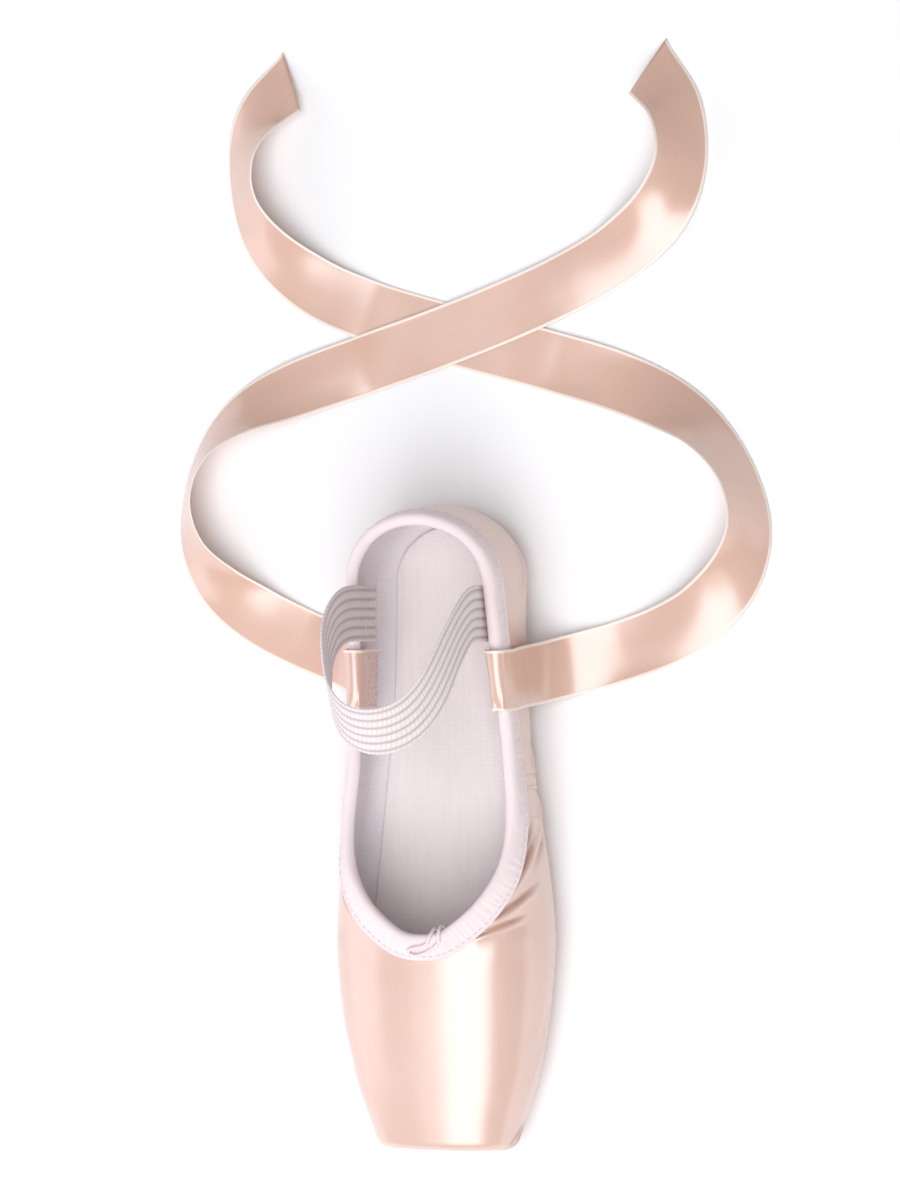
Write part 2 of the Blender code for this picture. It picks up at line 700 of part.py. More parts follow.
def make_ribbon(name):
    """Satin ribbon along its route: a flat cord whose width turns with run and lean."""
    route = np.array(RIBBON_ROUTES[name], float)
    knots = np.arange(len(route))
    # Knots lie close together over the casing, so points halfway between them are added only elsewhere.
    spacing = np.linalg.norm(np.diff(route[:, :3], axis=0), axis=1) / 1000
    at = np.union1d(knots, np.flatnonzero(spacing > RIBBON_WIDTH / 4) + 0.5)
    x, y, low, run, lean = (smooth_curve(knots, column, at) for column in route.T)
    run, lean = np.radians(run), np.radians(lean)
    lower_edge = np.maximum(low / 1000, RIBBON_FLOOR_GAP)
    centre = lower_edge + RIBBON_WIDTH / 2 * np.abs(np.sin(lean)) + RIBBON_THICKNESS / 2
    centres = np.stack([x / 1000, y / 1000, centre], axis=1)
    widths = np.stack([-np.cos(lean) * np.sin(run), np.cos(lean) * np.cos(run), np.sin(lean)], axis=1)
    return band(name, "satin", centres, widths, RIBBON_WIDTH, RIBBON_THICKNESS)


def make_drawstring():
    """Loop of the casing's drawstring, as a round cord on a smooth line through its route."""
    route = np.array(DRAWSTRING_ROUTE) / 1000
    knots = np.arange(len(route))
    at = np.linspace(0, len(route) - 1, 3 * (len(route) - 1) + 1)
    line = np.stack([smooth_curve(knots, column, at) for column in route.T], axis=1)
    curve = bpy.data.curves.new("drawstring", "CURVE")
    curve.dimensions = "3D"
    curve.bevel_depth = DRAWSTRING_DIAMETER / 2
    curve.bevel_resolution = 2
    curve.use_fill_caps = True
    spline = curve.splines.new("POLY")
    spline.points.add(len(line) - 1)
    for point, place in zip(spline.points, line):
        point.co = (*place, 1)
    curve.materials.append(material("cord"))
    made = bpy.data.objects.new("drawstring", curve)
    bpy.data.collections["pointe_shoe"].objects.link(made)
    return made


def main():
    for existing in list(bpy.data.objects):
        bpy.data.objects.remove(existing)
    shoe = bpy.data.collections.new("pointe_shoe")
    bpy.context.scene.collection.children.link(shoe)
    make_upper()
    make_outsole()
    make_insole()
    make_casing()
    make_elastic()
    for name in RIBBON_ROUTES:
        make_ribbon(name)
    make_drawstring()


main()
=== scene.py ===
# %% [markdown]
# # A pointe shoe
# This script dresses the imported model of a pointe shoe. The shoe stands empty on its sole, with its ribbons
# lying behind it. The toe points to -Y, the heel to +Y, and the origin is on the floor under its middle.
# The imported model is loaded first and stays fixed, because every piece takes its place from it.

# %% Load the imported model
import math

import bmesh
import bpy
import numpy as np
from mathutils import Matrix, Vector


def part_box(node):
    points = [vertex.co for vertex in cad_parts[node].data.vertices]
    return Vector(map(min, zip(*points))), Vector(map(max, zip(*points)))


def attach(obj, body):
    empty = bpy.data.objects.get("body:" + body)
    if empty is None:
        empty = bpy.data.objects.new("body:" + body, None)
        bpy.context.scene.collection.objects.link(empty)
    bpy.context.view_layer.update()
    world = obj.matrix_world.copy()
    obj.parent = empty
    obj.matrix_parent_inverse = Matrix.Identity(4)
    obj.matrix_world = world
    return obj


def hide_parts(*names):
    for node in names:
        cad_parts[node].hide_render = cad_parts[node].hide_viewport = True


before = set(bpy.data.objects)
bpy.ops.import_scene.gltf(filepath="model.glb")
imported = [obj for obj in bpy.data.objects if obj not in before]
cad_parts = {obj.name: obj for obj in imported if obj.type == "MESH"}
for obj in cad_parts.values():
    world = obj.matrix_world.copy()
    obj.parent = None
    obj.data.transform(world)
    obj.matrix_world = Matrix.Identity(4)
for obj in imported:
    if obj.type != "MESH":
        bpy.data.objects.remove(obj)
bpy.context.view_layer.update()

# %% [markdown]
# ## The camera
# The picture looks down on the shoe from above and a little from its right, with the heel at the top. A long
# lens from far away keeps the box and the heel in proportion. The camera's three axes are worked out one by
# one, because the usual helpers can't keep +Y up in a view that is nearly straight down.

# %% Place the camera
CAMERA_TILT = math.radians(18)
CAMERA_DISTANCE = 1.9
CAMERA_AIM = np.array([0.003, 0.0815, 0.022])
VIEW_HEIGHT = 0.430

camera_back = np.array([math.sin(CAMERA_TILT), 0.0, math.cos(CAMERA_TILT)])
camera_up = np.array([0.0, 1.0, 0.0])
camera_right = np.cross(camera_up, camera_back)
camera_data = bpy.data.cameras.new("studio_camera")
camera_data.lens = camera_data.sensor_width * CAMERA_DISTANCE / VIEW_HEIGHT
camera = bpy.data.objects.new("studio_camera", camera_data)
bpy.context.scene.collection.objects.link(camera)
camera_place = np.eye(4)
camera_place[:3, :3] = np.stack([camera_right, camera_up, camera_back], axis=1)
camera_place[:3, 3] = CAMERA_AIM + CAMERA_DISTANCE * camera_back
camera.matrix_world = camera_place.T.tolist()
bpy.context.scene.camera = camera
print("camera lens", round(camera_data.lens, 1), "mm")

# %% [markdown]
# ## Curves and surfaces from formulas
# Every new piece here is a surface: a function of two parameters, worked out on a grid of points. Six small
# helpers shape the numbers. The first rises smoothly from 0 to 1, the second blends two values, and the
# third draws a smooth line through a row of values, as a flexible ruler does through pins. The fourth does
# that for each column of a table, the fifth measures along a line of points, and the sixth brings an arrow
# to a length of 1.

# %% Helpers for numbers
def smooth_step(value):
    """0 below 0, 1 above 1, and 3 v^2 - 2 v^3 between."""
    value = np.clip(value, 0, 1)
    return value * value * (3 - 2 * value)


def mix(low, high, share):
    """low + (high - low) * share."""
    return low + (high - low) * share


def smooth_curve(knots, values, at):
    """A cubic through the values, whose slope at each knot comes from the knot's neighbours."""
    knots, values, at = np.asarray(knots, float), np.asarray(values, float), np.asarray(at, float)
    slopes = np.gradient(values, knots)
    i = np.clip(np.searchsorted(knots, at, side="right") - 1, 0, len(knots) - 2)
    span = knots[i + 1] - knots[i]
    t = np.clip((at - knots[i]) / span, 0, 1)
    start = values[i] * (1 + 2 * t) * (1 - t) ** 2 + span * slopes[i] * t * (1 - t) ** 2
    end = values[i + 1] * t * t * (3 - 2 * t) - span * slopes[i + 1] * t * t * (1 - t)
    return start + end


def smooth_rows(table, count):
    """A number of points on the smooth line through a table's rows, column by column."""
    knots, at = np.arange(len(table)), np.linspace(0, len(table) - 1, count)
    return np.stack([smooth_curve(knots, column, at) for column in table.T], axis=1)


def distance_along(line):
    """Length of a line of points from its start to each point: the running sum of its segments."""
    return np.concatenate([[0], np.cumsum(np.linalg.norm(np.diff(line, axis=0), axis=1))])


def unit(vectors):
    """Each vector divided by its length."""
    return vectors / np.maximum(np.linalg.norm(vectors, axis=-1, keepdims=True), 1e-12)


print("a smooth step goes", smooth_step(np.linspace(0, 1, 5)))

# %% [markdown]
# ## From a grid to a mesh
# A grid of points becomes a mesh when each square of four neighbours is joined by a face. Where a piece
# closes on itself, as a tube does, the last column joins the first. The piece also gets a UV map in metres,
# so that a weave keeps its real size. Doubled points on a seam or a pole are merged. A shade can be kept
# with each point, for a finish to read later.

# %% Helpers for meshes
SEAM_WELD = 2e-6


def grid_quads(rows, columns, around=False):
    """Corner numbers of each quad: row i and i + 1, column j and j + 1, closed round if around is set."""
    i = np.arange(rows - 1)[:, None]
    j = np.arange(columns if around else columns - 1)[None, :]
    k = (j + 1) % columns
    corners = (i * columns + j, (i + 1) * columns + j, (i + 1) * columns + k, i * columns + k)
    return np.stack(np.broadcast_arrays(*corners), axis=-1).reshape(-1, 4)


def make_mesh(name, points, quads, uv, weld=1e-7, sharp=None, shade=None):
    """A shown piece from points, quads, a UV for each point and, where given, a shade for each point."""
    mesh = bpy.data.meshes.new(name)
    mesh.from_pydata(points.reshape(-1, 3), [], quads)
    if shade is not None:
        kept = mesh.attributes.new("shade", "FLOAT", "POINT")
        kept.data.foreach_set("value", shade.astype(np.float32).ravel())
    corners = np.empty(len(mesh.loops), dtype=np.int32)
    mesh.loops.foreach_get("vertex_index", corners)
    layer = mesh.uv_layers.new(name="surface")
    layer.data.foreach_set("uv", uv.reshape(-1, 2)[corners].astype(np.float32).ravel())
    shape = bmesh.new()
    shape.from_mesh(mesh)
    bmesh.ops.remove_doubles(shape, verts=shape.verts, dist=weld)
    shape.to_mesh(mesh)
    shape.free()
    mesh.shade_smooth()
    if sharp:
        mesh.set_sharp_from_angle(angle=math.radians(sharp))
    piece = bpy.data.objects.new(name, mesh)
    bpy.context.scene.collection.objects.link(piece)
    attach(piece, "root")
    return piece


def tube(rings, uv, name):
    """A closed tube from rings of points, with both ends closed by a strip of quads across the ring."""
    count, around = rings.shape[:2]
    quads = grid_quads(count, around, around=True)
    half = around // 2
    across = np.arange(half - 1)
    cap = np.stack([across, across + 1, around - 2 - across, around - 1 - across], axis=1)
    quads = np.concatenate([quads, cap, cap[:, ::-1] + around * (count - 1)])
    return make_mesh(name, rings, quads, uv)


print("a grid of 3 by 4 points has", len(grid_quads(3, 4)), "quads")

# %% [markdown]
# ## The ribbons' routes
# A ribbon is a flat cord: it bends easily across its width and hardly at all along its plane. Each route is
# a table of points that the ribbon's middle line passes, out over the topline, down the quarter and along
# the floor in a loose S. The ribbon lies flat where it runs straight, and turns on its edge in each bend.
# Both ribbons start the same way, mirrored, so that part is written once.
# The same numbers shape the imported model's solids, so the ribbon is where the solid is.

# %% Ribbon routes, in millimetres and degrees
RIBBON_WIDTH = 0.022
RIBBON_THICKNESS = 0.0005
RIBBON_FLOOR_GAP = 0.0002
LOWEST_RIBBON_POINT = 0.00005

RIBBON_START = (
    # x, y, height of the lower edge, run in plan from +X, lean of the width from flat
    (25.2, 53.0, 17.5, 3, 14),
    (24.6, 53.0, 24.0, 3, 14),
    (23.8, 53.0, 30.5, 3, 14),
    (23.5, 53.0, 35.6, 3, 14),
    (24.2, 53.0, 38.9, 3, 14),
    (26.5, 53.0, 40.1, 3, 14),
    (29.1, 53.0, 39.0, 3, 14),
    (30.4, 53.1, 35.4, 3, 14),
    (31.2, 53.3, 31.0, 3, 14),
    (31.7, 54.0, 25.0, 3, 13),
)
RIBBON_ROUTES = {
    "ribbon_right": (
        *RIBBON_START,
        (32.5, 54.6, 18.0, 4, 11),
        (35.0, 55.6, 9.5, 6, 8),
        (41.0, 57.5, 3.6, 10, 5),
        (50.0, 60.0, 0.9, 14, 3),
        (62.0, 63.5, 0.2, 18, 0),
        (77.0, 69.0, 0.2, 24, 3),
        (92.0, 77.5, 0.2, 36, 16),
        (104.0, 90.5, 0.2, 56, 36),
        (109.5, 107.0, 0.2, 82, 56),
        (106.0, 124.5, 0.2, 108, 64),
        (95.0, 140.0, 0.2, 130, 52),
        (79.0, 151.5, 0.2, 148, 28),
        (59.0, 160.0, 0.2, 159, 8),
        (36.0, 167.0, 0.2, 164, 0),
        (12.0, 173.5, 0.2, 165, 0),
        (-12.0, 180.0, 0.2, 165, 0),
        (-35.0, 187.0, 0.2, 160, 0),
        (-55.0, 196.0, 0.2, 150, -8),
        (-71.0, 209.5, 0.2, 128, -30),
        (-80.0, 226.0, 0.2, 104, -48),
        (-81.0, 243.5, 0.2, 84, -46),
        (-75.0, 259.0, 0.2, 62, -26),
        (-64.0, 271.0, 0.2, 48, -8),
    ),
    "ribbon_left": (
        *((-x, y, low, 180 - run, -lean) for x, y, low, run, lean in RIBBON_START),
        (-32.5, 54.8, 18.0, 175, -11),
        (-34.8, 56.2, 9.5, 172, -8),
        (-40.4, 59.0, 3.6, 167, -5),
        (-49.0, 62.8, 0.9, 160, -3),
        (-61.0, 67.5, 0.2, 154, 0),
        (-76.0, 75.0, 0.2, 148, -5),
        (-90.0, 86.0, 0.2, 132, -24),
        (-100.0, 101.5, 0.2, 107, -48),
        (-102.0, 119.5, 0.2, 82, -64),
        (-95.5, 136.0, 0.2, 58, -60),
        (-81.5, 149.0, 0.2, 38, -38),
        (-61.5, 158.5, 0.7, 24, -12),
        (-37.0, 167.0, 1.1, 19, 0),
        (-11.0, 175.5, 1.3, 19, 0),
        (14.0, 184.5, 1.3, 21, 0),
        (38.0, 194.5, 1.1, 25, 0),
        (60.0, 206.5, 0.4, 34, 6),
        (76.5, 221.0, 0.2, 52, 28),
        (84.5, 239.0, 0.2, 80, 46),
        (82.0, 257.5, 0.2, 108, 40),
        (71.5, 272.5, 0.2, 132, 16),
    ),
}
print("the ribbons' routes have", [len(route) for route in RIBBON_ROUTES.values()], "points")

# %% [markdown]
# At each place a ribbon needs two things: where its middle is, and which way its width points. Both come
# from smooth curves through the table. The width is then made square to the line, so the ribbon never
# shears.

# %% The line and the width direction of a ribbon
def ribbon_line(route, steps=12):
    """Middle line and width direction: a smooth curve through the route's columns.

    The middle is as high above the lower edge as half the width times the sine of the lean. The width
    points along (-cos(lean) sin(run), cos(lean) cos(run), sin(lean)), made square to the line.
    """
    table = np.array(route, float)
    x, y, low, run, lean = smooth_rows(table, steps * (len(table) - 1) + 1).T
    run, lean = np.radians(run), np.radians(lean)
    lower_edge = np.maximum(low / 1000, RIBBON_FLOOR_GAP)
    height = lower_edge + RIBBON_WIDTH / 2 * np.abs(np.sin(lean)) + RIBBON_THICKNESS / 2
    line = np.stack([x / 1000, y / 1000, height], axis=1)
    width = np.stack([-np.cos(lean) * np.sin(run), np.cos(lean) * np.cos(run), np.sin(lean)], axis=1)
    tangent = unit(np.gradient(line, axis=0))
    width = unit(width - tangent * np.sum(width * tangent, axis=1, keepdims=True))
    return line, tangent, width


for route_name, route in RIBBON_ROUTES.items():
    line = ribbon_line(route)[0]
    print(route_name, "is", round(distance_along(line)[-1], 3), "m long")

# %% [markdown]
# ## The ribbons' surface
# A woven ribbon is about a third of a millimetre thick, with a firmer edge called a selvedge on both sides.
# Laid down loosely it isn't flat: its middle arches a little, its edges ripple, and its cut end runs
# slanting so that it frays less. A strip with a shaped cross-section gives all of that in one surface.
# Lengths along a ribbon are in millimetres here, and it lies flat where the two ribbons cross.

# %% A strip with a shaped cross-section
def strip_rings(line, tangent, width, half_width, across, thick, bow):
    """Rings of a closed flat strip.

    A ring goes over the top from the left edge to the right one and back underneath. A point's place is the
    line + width * across * half width + normal * (bow + or - thick), for across from -1 to 1.
    """
    normal = np.cross(tangent, width)
    over = np.concatenate([across, across[::-1]])
    lift = np.concatenate([bow + thick, bow[:, ::-1] - thick[::-1]], axis=1)
    sideways = width[:, None, :] * (over * half_width)[None, :, None]
    return line[:, None, :] + sideways + normal[:, None, :] * lift[..., None]


def strip_uv(line, across, half_width):
    """UV of a strip in metres: u across the strip and v along it."""
    over = np.concatenate([across, across[::-1]]) * half_width
    run = distance_along(line)
    return np.stack(np.broadcast_arrays(over[None, :], run[:, None]), axis=-1)


ribbon_across = np.sin(np.linspace(-math.pi / 2, math.pi / 2, 31))
selvedge = smooth_step((np.abs(ribbon_across) - 0.90) / 0.05)
ribbon_thick = (0.00013 + 0.00009 * selvedge) * np.sqrt(1 - 0.98 * np.abs(ribbon_across) ** 40)
print("a ribbon's ring has", 2 * len(ribbon_across), "points")

# %% [markdown]
# Both ribbons are made by one loop, each with waves of its own, so that they don't look like copies. Each
# lies loose, and only its first end is sewn down.

# %% Make the two ribbons
CROSSING = np.array([0.0, 0.178, 0.0])
SLANT_LENGTH, SLANT_REACH = 22, 0.0055
ribbons = {}
for route_name, route in RIBBON_ROUTES.items():
    line, tangent, width = ribbon_line(route)
    run = distance_along(line)[:, None] * 1000
    side = 1 if route_name == "ribbon_right" else -1
    clear = np.linalg.norm(line - CROSSING, axis=1, keepdims=True)
    loose = smooth_step((run - 62) / 40) * smooth_step((clear - 0.020) / 0.030)
    arch = 0.00055 + 0.00035 * np.sin(run / 23 + side) + 0.00020 * np.sin(run / 9.1 + 2 * side)
    ripple = 0.00045 * (1 + np.sin(run / 13.7 + 1.3 * side)) * np.abs(ribbon_across) ** 3
    ripple = ripple + 0.00030 * (1 + np.sin(run / 7.3 - side)) * smooth_step(side * ribbon_across - 0.3)
    bow = loose * (arch * (1 - ribbon_across**2) + ripple)
    rings = strip_rings(line, tangent, width, RIBBON_WIDTH / 2, ribbon_across, ribbon_thick, bow)
    slant = smooth_step((run - run[-1] + SLANT_LENGTH) / SLANT_LENGTH) * SLANT_REACH
    over = np.concatenate([ribbon_across, ribbon_across[::-1]])
    rings = rings + tangent[:, None, :] * (side * slant * over)[..., None]
    rings[..., 2] += np.maximum(LOWEST_RIBBON_POINT - rings[..., 2].min(axis=1, keepdims=True), 0)
    ribbons[route_name] = tube(rings, strip_uv(line, ribbon_across, RIBBON_WIDTH / 2), route_name + "_satin")
    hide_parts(route_name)
    print(route_name, "has", len(ribbons[route_name].data.polygons), "faces")

# %% [markdown]
# ## The drawstring
# A cord runs inside the casing all round the opening, and its loop comes out at the throat, where the dancer
# pulls it tight. It is two strands twisted together, so its cross-section is a figure with two humps that
# turns as it goes along the line.

# %% The drawstring's loop
DRAWSTRING_DIAMETER = 0.0013
DRAWSTRING_TWIST = 0.0032
DRAWSTRING_ROUTE = (
    # x, y, z in millimetres
    (9.0, -36.6, 41.4),
    (7.2, -34.0, 44.5),
    (7.4, -35.9, 48.7),
    (7.4, -39.4, 48.9),
    (5.2, -41.7, 48.6),
    (2.0, -43.5, 48.4),
    (-1.4, -44.4, 48.2),
    (-3.5, -43.9, 48.2),
    (-3.9, -42.7, 48.4),
    (-2.2, -41.8, 48.6),
    (0.7, -41.2, 48.8),
    (3.1, -40.0, 49.0),
    (4.3, -36.9, 48.7),
    (4.8, -35.0, 44.5),
    (6.0, -38.0, 41.4),
)


def round_cord(line, radius, lobes, twist):
    """Rings round a line, at radius * (0.86 + 0.14 cos(lobes * (angle - 2 pi s / twist)))."""
    tangent = unit(np.gradient(line, axis=0))
    side = unit(np.cross(tangent, (0.35, 0.55, 0.76)))
    up = np.cross(side, tangent)
    turn = np.linspace(0, 2 * math.pi, 17)[:-1][None, :]
    phase = 2 * math.pi * distance_along(line)[:, None] / twist
    reach = radius * (0.86 + 0.14 * np.cos(lobes * (turn - phase)))
    outwards = side[:, None, :] * np.cos(turn)[..., None] + up[:, None, :] * np.sin(turn)[..., None]
    return line[:, None, :] + outwards * reach[..., None]


cord_table = np.array(DRAWSTRING_ROUTE) / 1000
cord_line = smooth_rows(cord_table, 14 * (len(cord_table) - 1) + 1)
cord_rings = round_cord(cord_line, DRAWSTRING_DIAMETER / 2, 2, DRAWSTRING_TWIST)
cord_turn = np.linspace(0, DRAWSTRING_DIAMETER * math.pi, 17)[:-1][None, :]
cord_uv = np.stack(np.broadcast_arrays(cord_turn, distance_along(cord_line)[:, None]), axis=-1)
drawstring = tube(cord_rings, cord_uv, "drawstring_cord")
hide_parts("drawstring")
print("the drawstring is", round(distance_along(cord_line)[-1], 4), "m long")

# %% [markdown]
# ## The last
# A shoe is built on a last, and its shape is the last's shape. Here it is one function of two numbers. The
# station is the distance behind the flat platform at the toe, and behind the heel's centre it goes on round
# the back. The angle goes round a cross-section, from the middle of the underside, at -90 degrees, over the
# widest line, at 0, to the middle of the crown, at 90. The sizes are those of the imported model.

# %% Sizes of the last, in metres
LENGTH = 0.230
BALL_WIDTH = 0.0790
HEEL_WIDTH = 0.0572
HEEL_DEPTH = 0.027
HEEL_HEIGHT = 0.053
THROAT_HEIGHT = 0.0465
VAMP_LENGTH = 0.076
THROAT_ROUND = 0.032
BULGE_HEIGHT = 0.016
HEEL_BULGE_HEIGHT = 0.018
PLATFORM_WIDTH = 0.049
PLATFORM_HEIGHT = 0.0305
PLATFORM_EDGE_RADIUS = 0.0034
BOX_WALL = 0.0030
QUARTER_WALL = 0.0015
CROWN_SQUARENESS = 2.4
BOX_HEM_SQUARENESS = 3.6
HEEL_HEM_SQUARENESS = 3.0
SEAM_STATION = 0.129
SEAM_STEP = 0.0005
SEAM_RAMP = 0.0010
SOLE_THICKNESS = 0.0025
SOLE_TIP = 0.014
SOLE_LAP = 0.005
CLEARANCE = 0.0003
ARCH_RISE = 0.0026
FOREFOOT_FLAT_END = 0.100
HEEL_FLAT_START = 0.178
TOE_SPRING = 0.0009
TOE_SPRING_END = 0.028
HEEL_CENTRE = LENGTH - HEEL_DEPTH
HEEL_SWEEP = math.pi / 2 * (HEEL_DEPTH + HEEL_WIDTH / 2) / 2
BACK_STATION = HEEL_CENTRE + HEEL_SWEEP
PLATFORM_REACH = PLATFORM_WIDTH / 2
MIDDLE = (LENGTH + SEAM_STEP) / 2

BOX = (
    # share of the vamp's length, spread to the ball's width, rise to the throat's height
    (0.000, 0.000, 0.000),
    (0.105, 0.190, 0.170),
    (0.263, 0.470, 0.400),
    (0.526, 0.790, 0.680),
    (0.789, 0.955, 0.880),
    (1.000, 1.000, 1.000),
)
QUARTERS = (
    # share of the way to the heel's centre, spread from the heel's width, rise to the heel's crown
    (0.150, 0.865, 0.113),
    (0.346, 0.520, 0.283),
    (0.543, 0.175, 0.472),
    (0.740, 0.040, 0.698),
    (0.898, 0.005, 0.887),
    (1.000, 0.000, 1.000),
)
TOPLINE = (
    # share of the way from the throat to the back, cut towards the crown
    (0.000, 1.000),
    (0.029, 0.968),
    (0.094, 0.845),
    (0.152, 0.705),
    (0.234, 0.540),
    (0.316, 0.450),
    (0.410, 0.405),
    (0.551, 0.445),
    (0.668, 0.494),
    (0.744, 0.526),
    (0.870, 0.590),
    (0.950, 0.628),
    (1.000, 0.636),
)
print("the heel's centre is", round(HEEL_CENTRE * 1000, 1), "mm behind the platform")

# %% [markdown]
# The tables give each measure at a few stations only. Smooth curves fill in the rest, as a shoemaker's
# pattern does between a few measured girths.

# %% The last's cross-sections
box_table = np.array(BOX)
quarter_table = np.array(QUARTERS)
heel_crown = HEEL_BULGE_HEIGHT + (HEEL_HEIGHT - HEEL_BULGE_HEIGHT) / TOPLINE[-1][1]
section_stations = np.concatenate(
    [box_table[:, 0] * VAMP_LENGTH, mix(VAMP_LENGTH, HEEL_CENTRE, quarter_table[:, 0])]
)
section_half_widths = np.concatenate(
    [
        mix(PLATFORM_WIDTH, BALL_WIDTH, box_table[:, 1]) / 2,
        mix(HEEL_WIDTH, BALL_WIDTH, quarter_table[:, 1]) / 2,
    ]
)
section_crowns = np.concatenate(
    [
        mix(PLATFORM_HEIGHT, THROAT_HEIGHT, box_table[:, 2]),
        mix(THROAT_HEIGHT, heel_crown, quarter_table[:, 2]),
    ]
)


def lift(along):
    """Height of the sole's underside: a squared sine under the arch and a squared ramp at the toe."""
    waist = np.clip((along - FOREFOOT_FLAT_END) / (HEEL_FLAT_START - FOREFOOT_FLAT_END), 0, 1)
    toe = np.clip(1 - along / TOE_SPRING_END, 0, 1)
    return ARCH_RISE * np.sin(math.pi * waist) ** 2 + TOE_SPRING * toe**2


def towards_heel(along):
    """A smooth step from the throat, 0, to the heel's centre, 1."""
    return smooth_step((along - VAMP_LENGTH) / (HEEL_CENTRE - VAMP_LENGTH))


def section(along):
    """Half width, widest height, crown height, underside height and squareness below, from the tables."""
    half = smooth_curve(section_stations, section_half_widths, along)
    crown = smooth_curve(section_stations, section_crowns, along)
    bulge = mix(BULGE_HEIGHT, HEEL_BULGE_HEIGHT, towards_heel(along))
    base = SOLE_THICKNESS + CLEARANCE + lift(along)
    hem = mix(BOX_HEM_SQUARENESS, HEEL_HEM_SQUARENESS, towards_heel(along))
    return half, bulge, crown, base, hem


print("the ball is", round(2000 * section_half_widths.max(), 1), "mm wide")


# %% [markdown]
# A cross-section is neither a circle nor an ellipse: a toe box is flatter below and rounder above. A
# superellipse has one more number, its squareness, and with it one formula gives all of these outlines.

# %% The last's face
SMALL_STEP = 1e-5


def lap(station):
    """How far the quarters stand outside the vamp: SEAM_STEP times a smooth step."""
    return SEAM_STEP * smooth_step((station - SEAM_STATION) / SEAM_RAMP)


def last_face(station, angle, lapped=1.0):
    """A point of the outer face.

    A section's radius is 1 / (|cos|^n + |sin|^n)^(1/n), stretched by the half width sideways and by the
    heights above and below the widest line. At the toe it draws in round the platform's edge as a quarter
    circle, and behind the heel's centre it swings round an upright axis.
    """
    station, angle = np.broadcast_arrays(np.asarray(station, float), np.asarray(angle, float))
    along = np.clip(station, 0, HEEL_CENTRE)
    half, bulge, crown, base, hem = section(along)
    step = lap(station) * lapped
    turn = np.clip(1 - station / PLATFORM_EDGE_RADIUS, 0, 1) * math.pi / 2
    draw_in = PLATFORM_EDGE_RADIUS * (1 - np.cos(turn))
    rounded = PLATFORM_EDGE_RADIUS * (1 - np.sin(turn))
    distance = np.where(station < PLATFORM_EDGE_RADIUS, rounded, along)
    scale = np.clip(1 + station / PLATFORM_REACH, 0, 1)
    above = np.sin(angle) > 0
    power = np.where(above, CROWN_SQUARENESS, hem)
    cosine, sine = np.abs(np.cos(angle)), np.abs(np.sin(angle))
    radius = (cosine**power + sine**power) ** (-1 / power) * scale
    side = (half - draw_in + step) * radius * np.cos(angle)
    reach = np.where(above, crown - bulge + step, bulge - base) - draw_in
    height = bulge + reach * radius * np.sin(angle)
    swing = np.clip((station - HEEL_CENTRE) / HEEL_SWEEP, 0, 1) * math.pi / 2
    x = side * np.cos(swing)
    y = distance + side * np.sin(swing) * HEEL_DEPTH / (HEEL_WIDTH / 2) - MIDDLE
    return np.stack([x, y, height], axis=-1)


def outward(station, angle, lapped=1.0):
    """Unit normal of the face: the cross product of two small steps on it, or -Y on the platform."""
    step = SMALL_STEP
    station, angle = np.broadcast_arrays(np.asarray(station, float), np.asarray(angle, float))
    at = np.clip(station, 2 * step, BACK_STATION - 2 * step)
    along = last_face(at + step, angle, lapped) - last_face(at - step, angle, lapped)
    around = last_face(at, angle + step, lapped) - last_face(at, angle - step, lapped)
    normal = unit(np.cross(along, around))
    return np.where(station[..., None] <= 0, np.array([0.0, -1.0, 0.0]), normal)


def wall(along):
    """Thickness of the upper: the pasted box's, thinning to the quarters' by the throat."""
    return mix(BOX_WALL, QUARTER_WALL, smooth_step((along - SOLE_TIP) / (VAMP_LENGTH - SOLE_TIP)))


def topline_angle(station):
    """The angle at which a section ends at the opening: where |sin| is the table's share of the crown."""
    share = (np.asarray(station, float) - VAMP_LENGTH) / (BACK_STATION - VAMP_LENGTH)
    along, cut = np.array(TOPLINE).T
    k = np.clip(smooth_curve(along, cut, np.clip(share, 0, 1)), 0, 1 - 1e-9)
    k = k**CROWN_SQUARENESS
    angle = np.arctan((k / (1 - k)) ** (1 / CROWN_SQUARENESS))
    return np.where(share <= 0, math.pi / 2, angle)


print("the toe is at", last_face(0.0, 0.0).round(4), "and the back at", last_face(BACK_STATION, 0.5).round(4))

# %% [markdown]
# ## The outsole's outline
# The sole's outline is needed first, because the satin ends under it. It is a blend of three widths, the
# ball's, the waist's and the heel's, rounded off with part of an ellipse at both ends.

# %% Outline of the outsole
SOLE_BALL_WIDTH = 0.046
SOLE_WAIST_WIDTH = 0.028
SOLE_HEEL_WIDTH = 0.036
SOLE_TIP_ROUND = 0.026
SOLE_OUTLINE = (
    # share of the length, then how much of the ball's, the waist's and the heel's width
    (0.00, 0.86, 0.14, 0.00),
    (0.14, 0.95, 0.05, 0.00),
    (0.30, 1.00, 0.00, 0.00),
    (0.46, 0.76, 0.24, 0.00),
    (0.64, 0.12, 0.88, 0.00),
    (0.76, 0.00, 0.98, 0.02),
    (0.88, 0.00, 0.50, 0.50),
    (1.00, 0.00, 0.00, 1.00),
)
SOLE_BACK = HEEL_CENTRE + SOLE_HEEL_WIDTH / 2 * HEEL_DEPTH / (HEEL_WIDTH / 2)


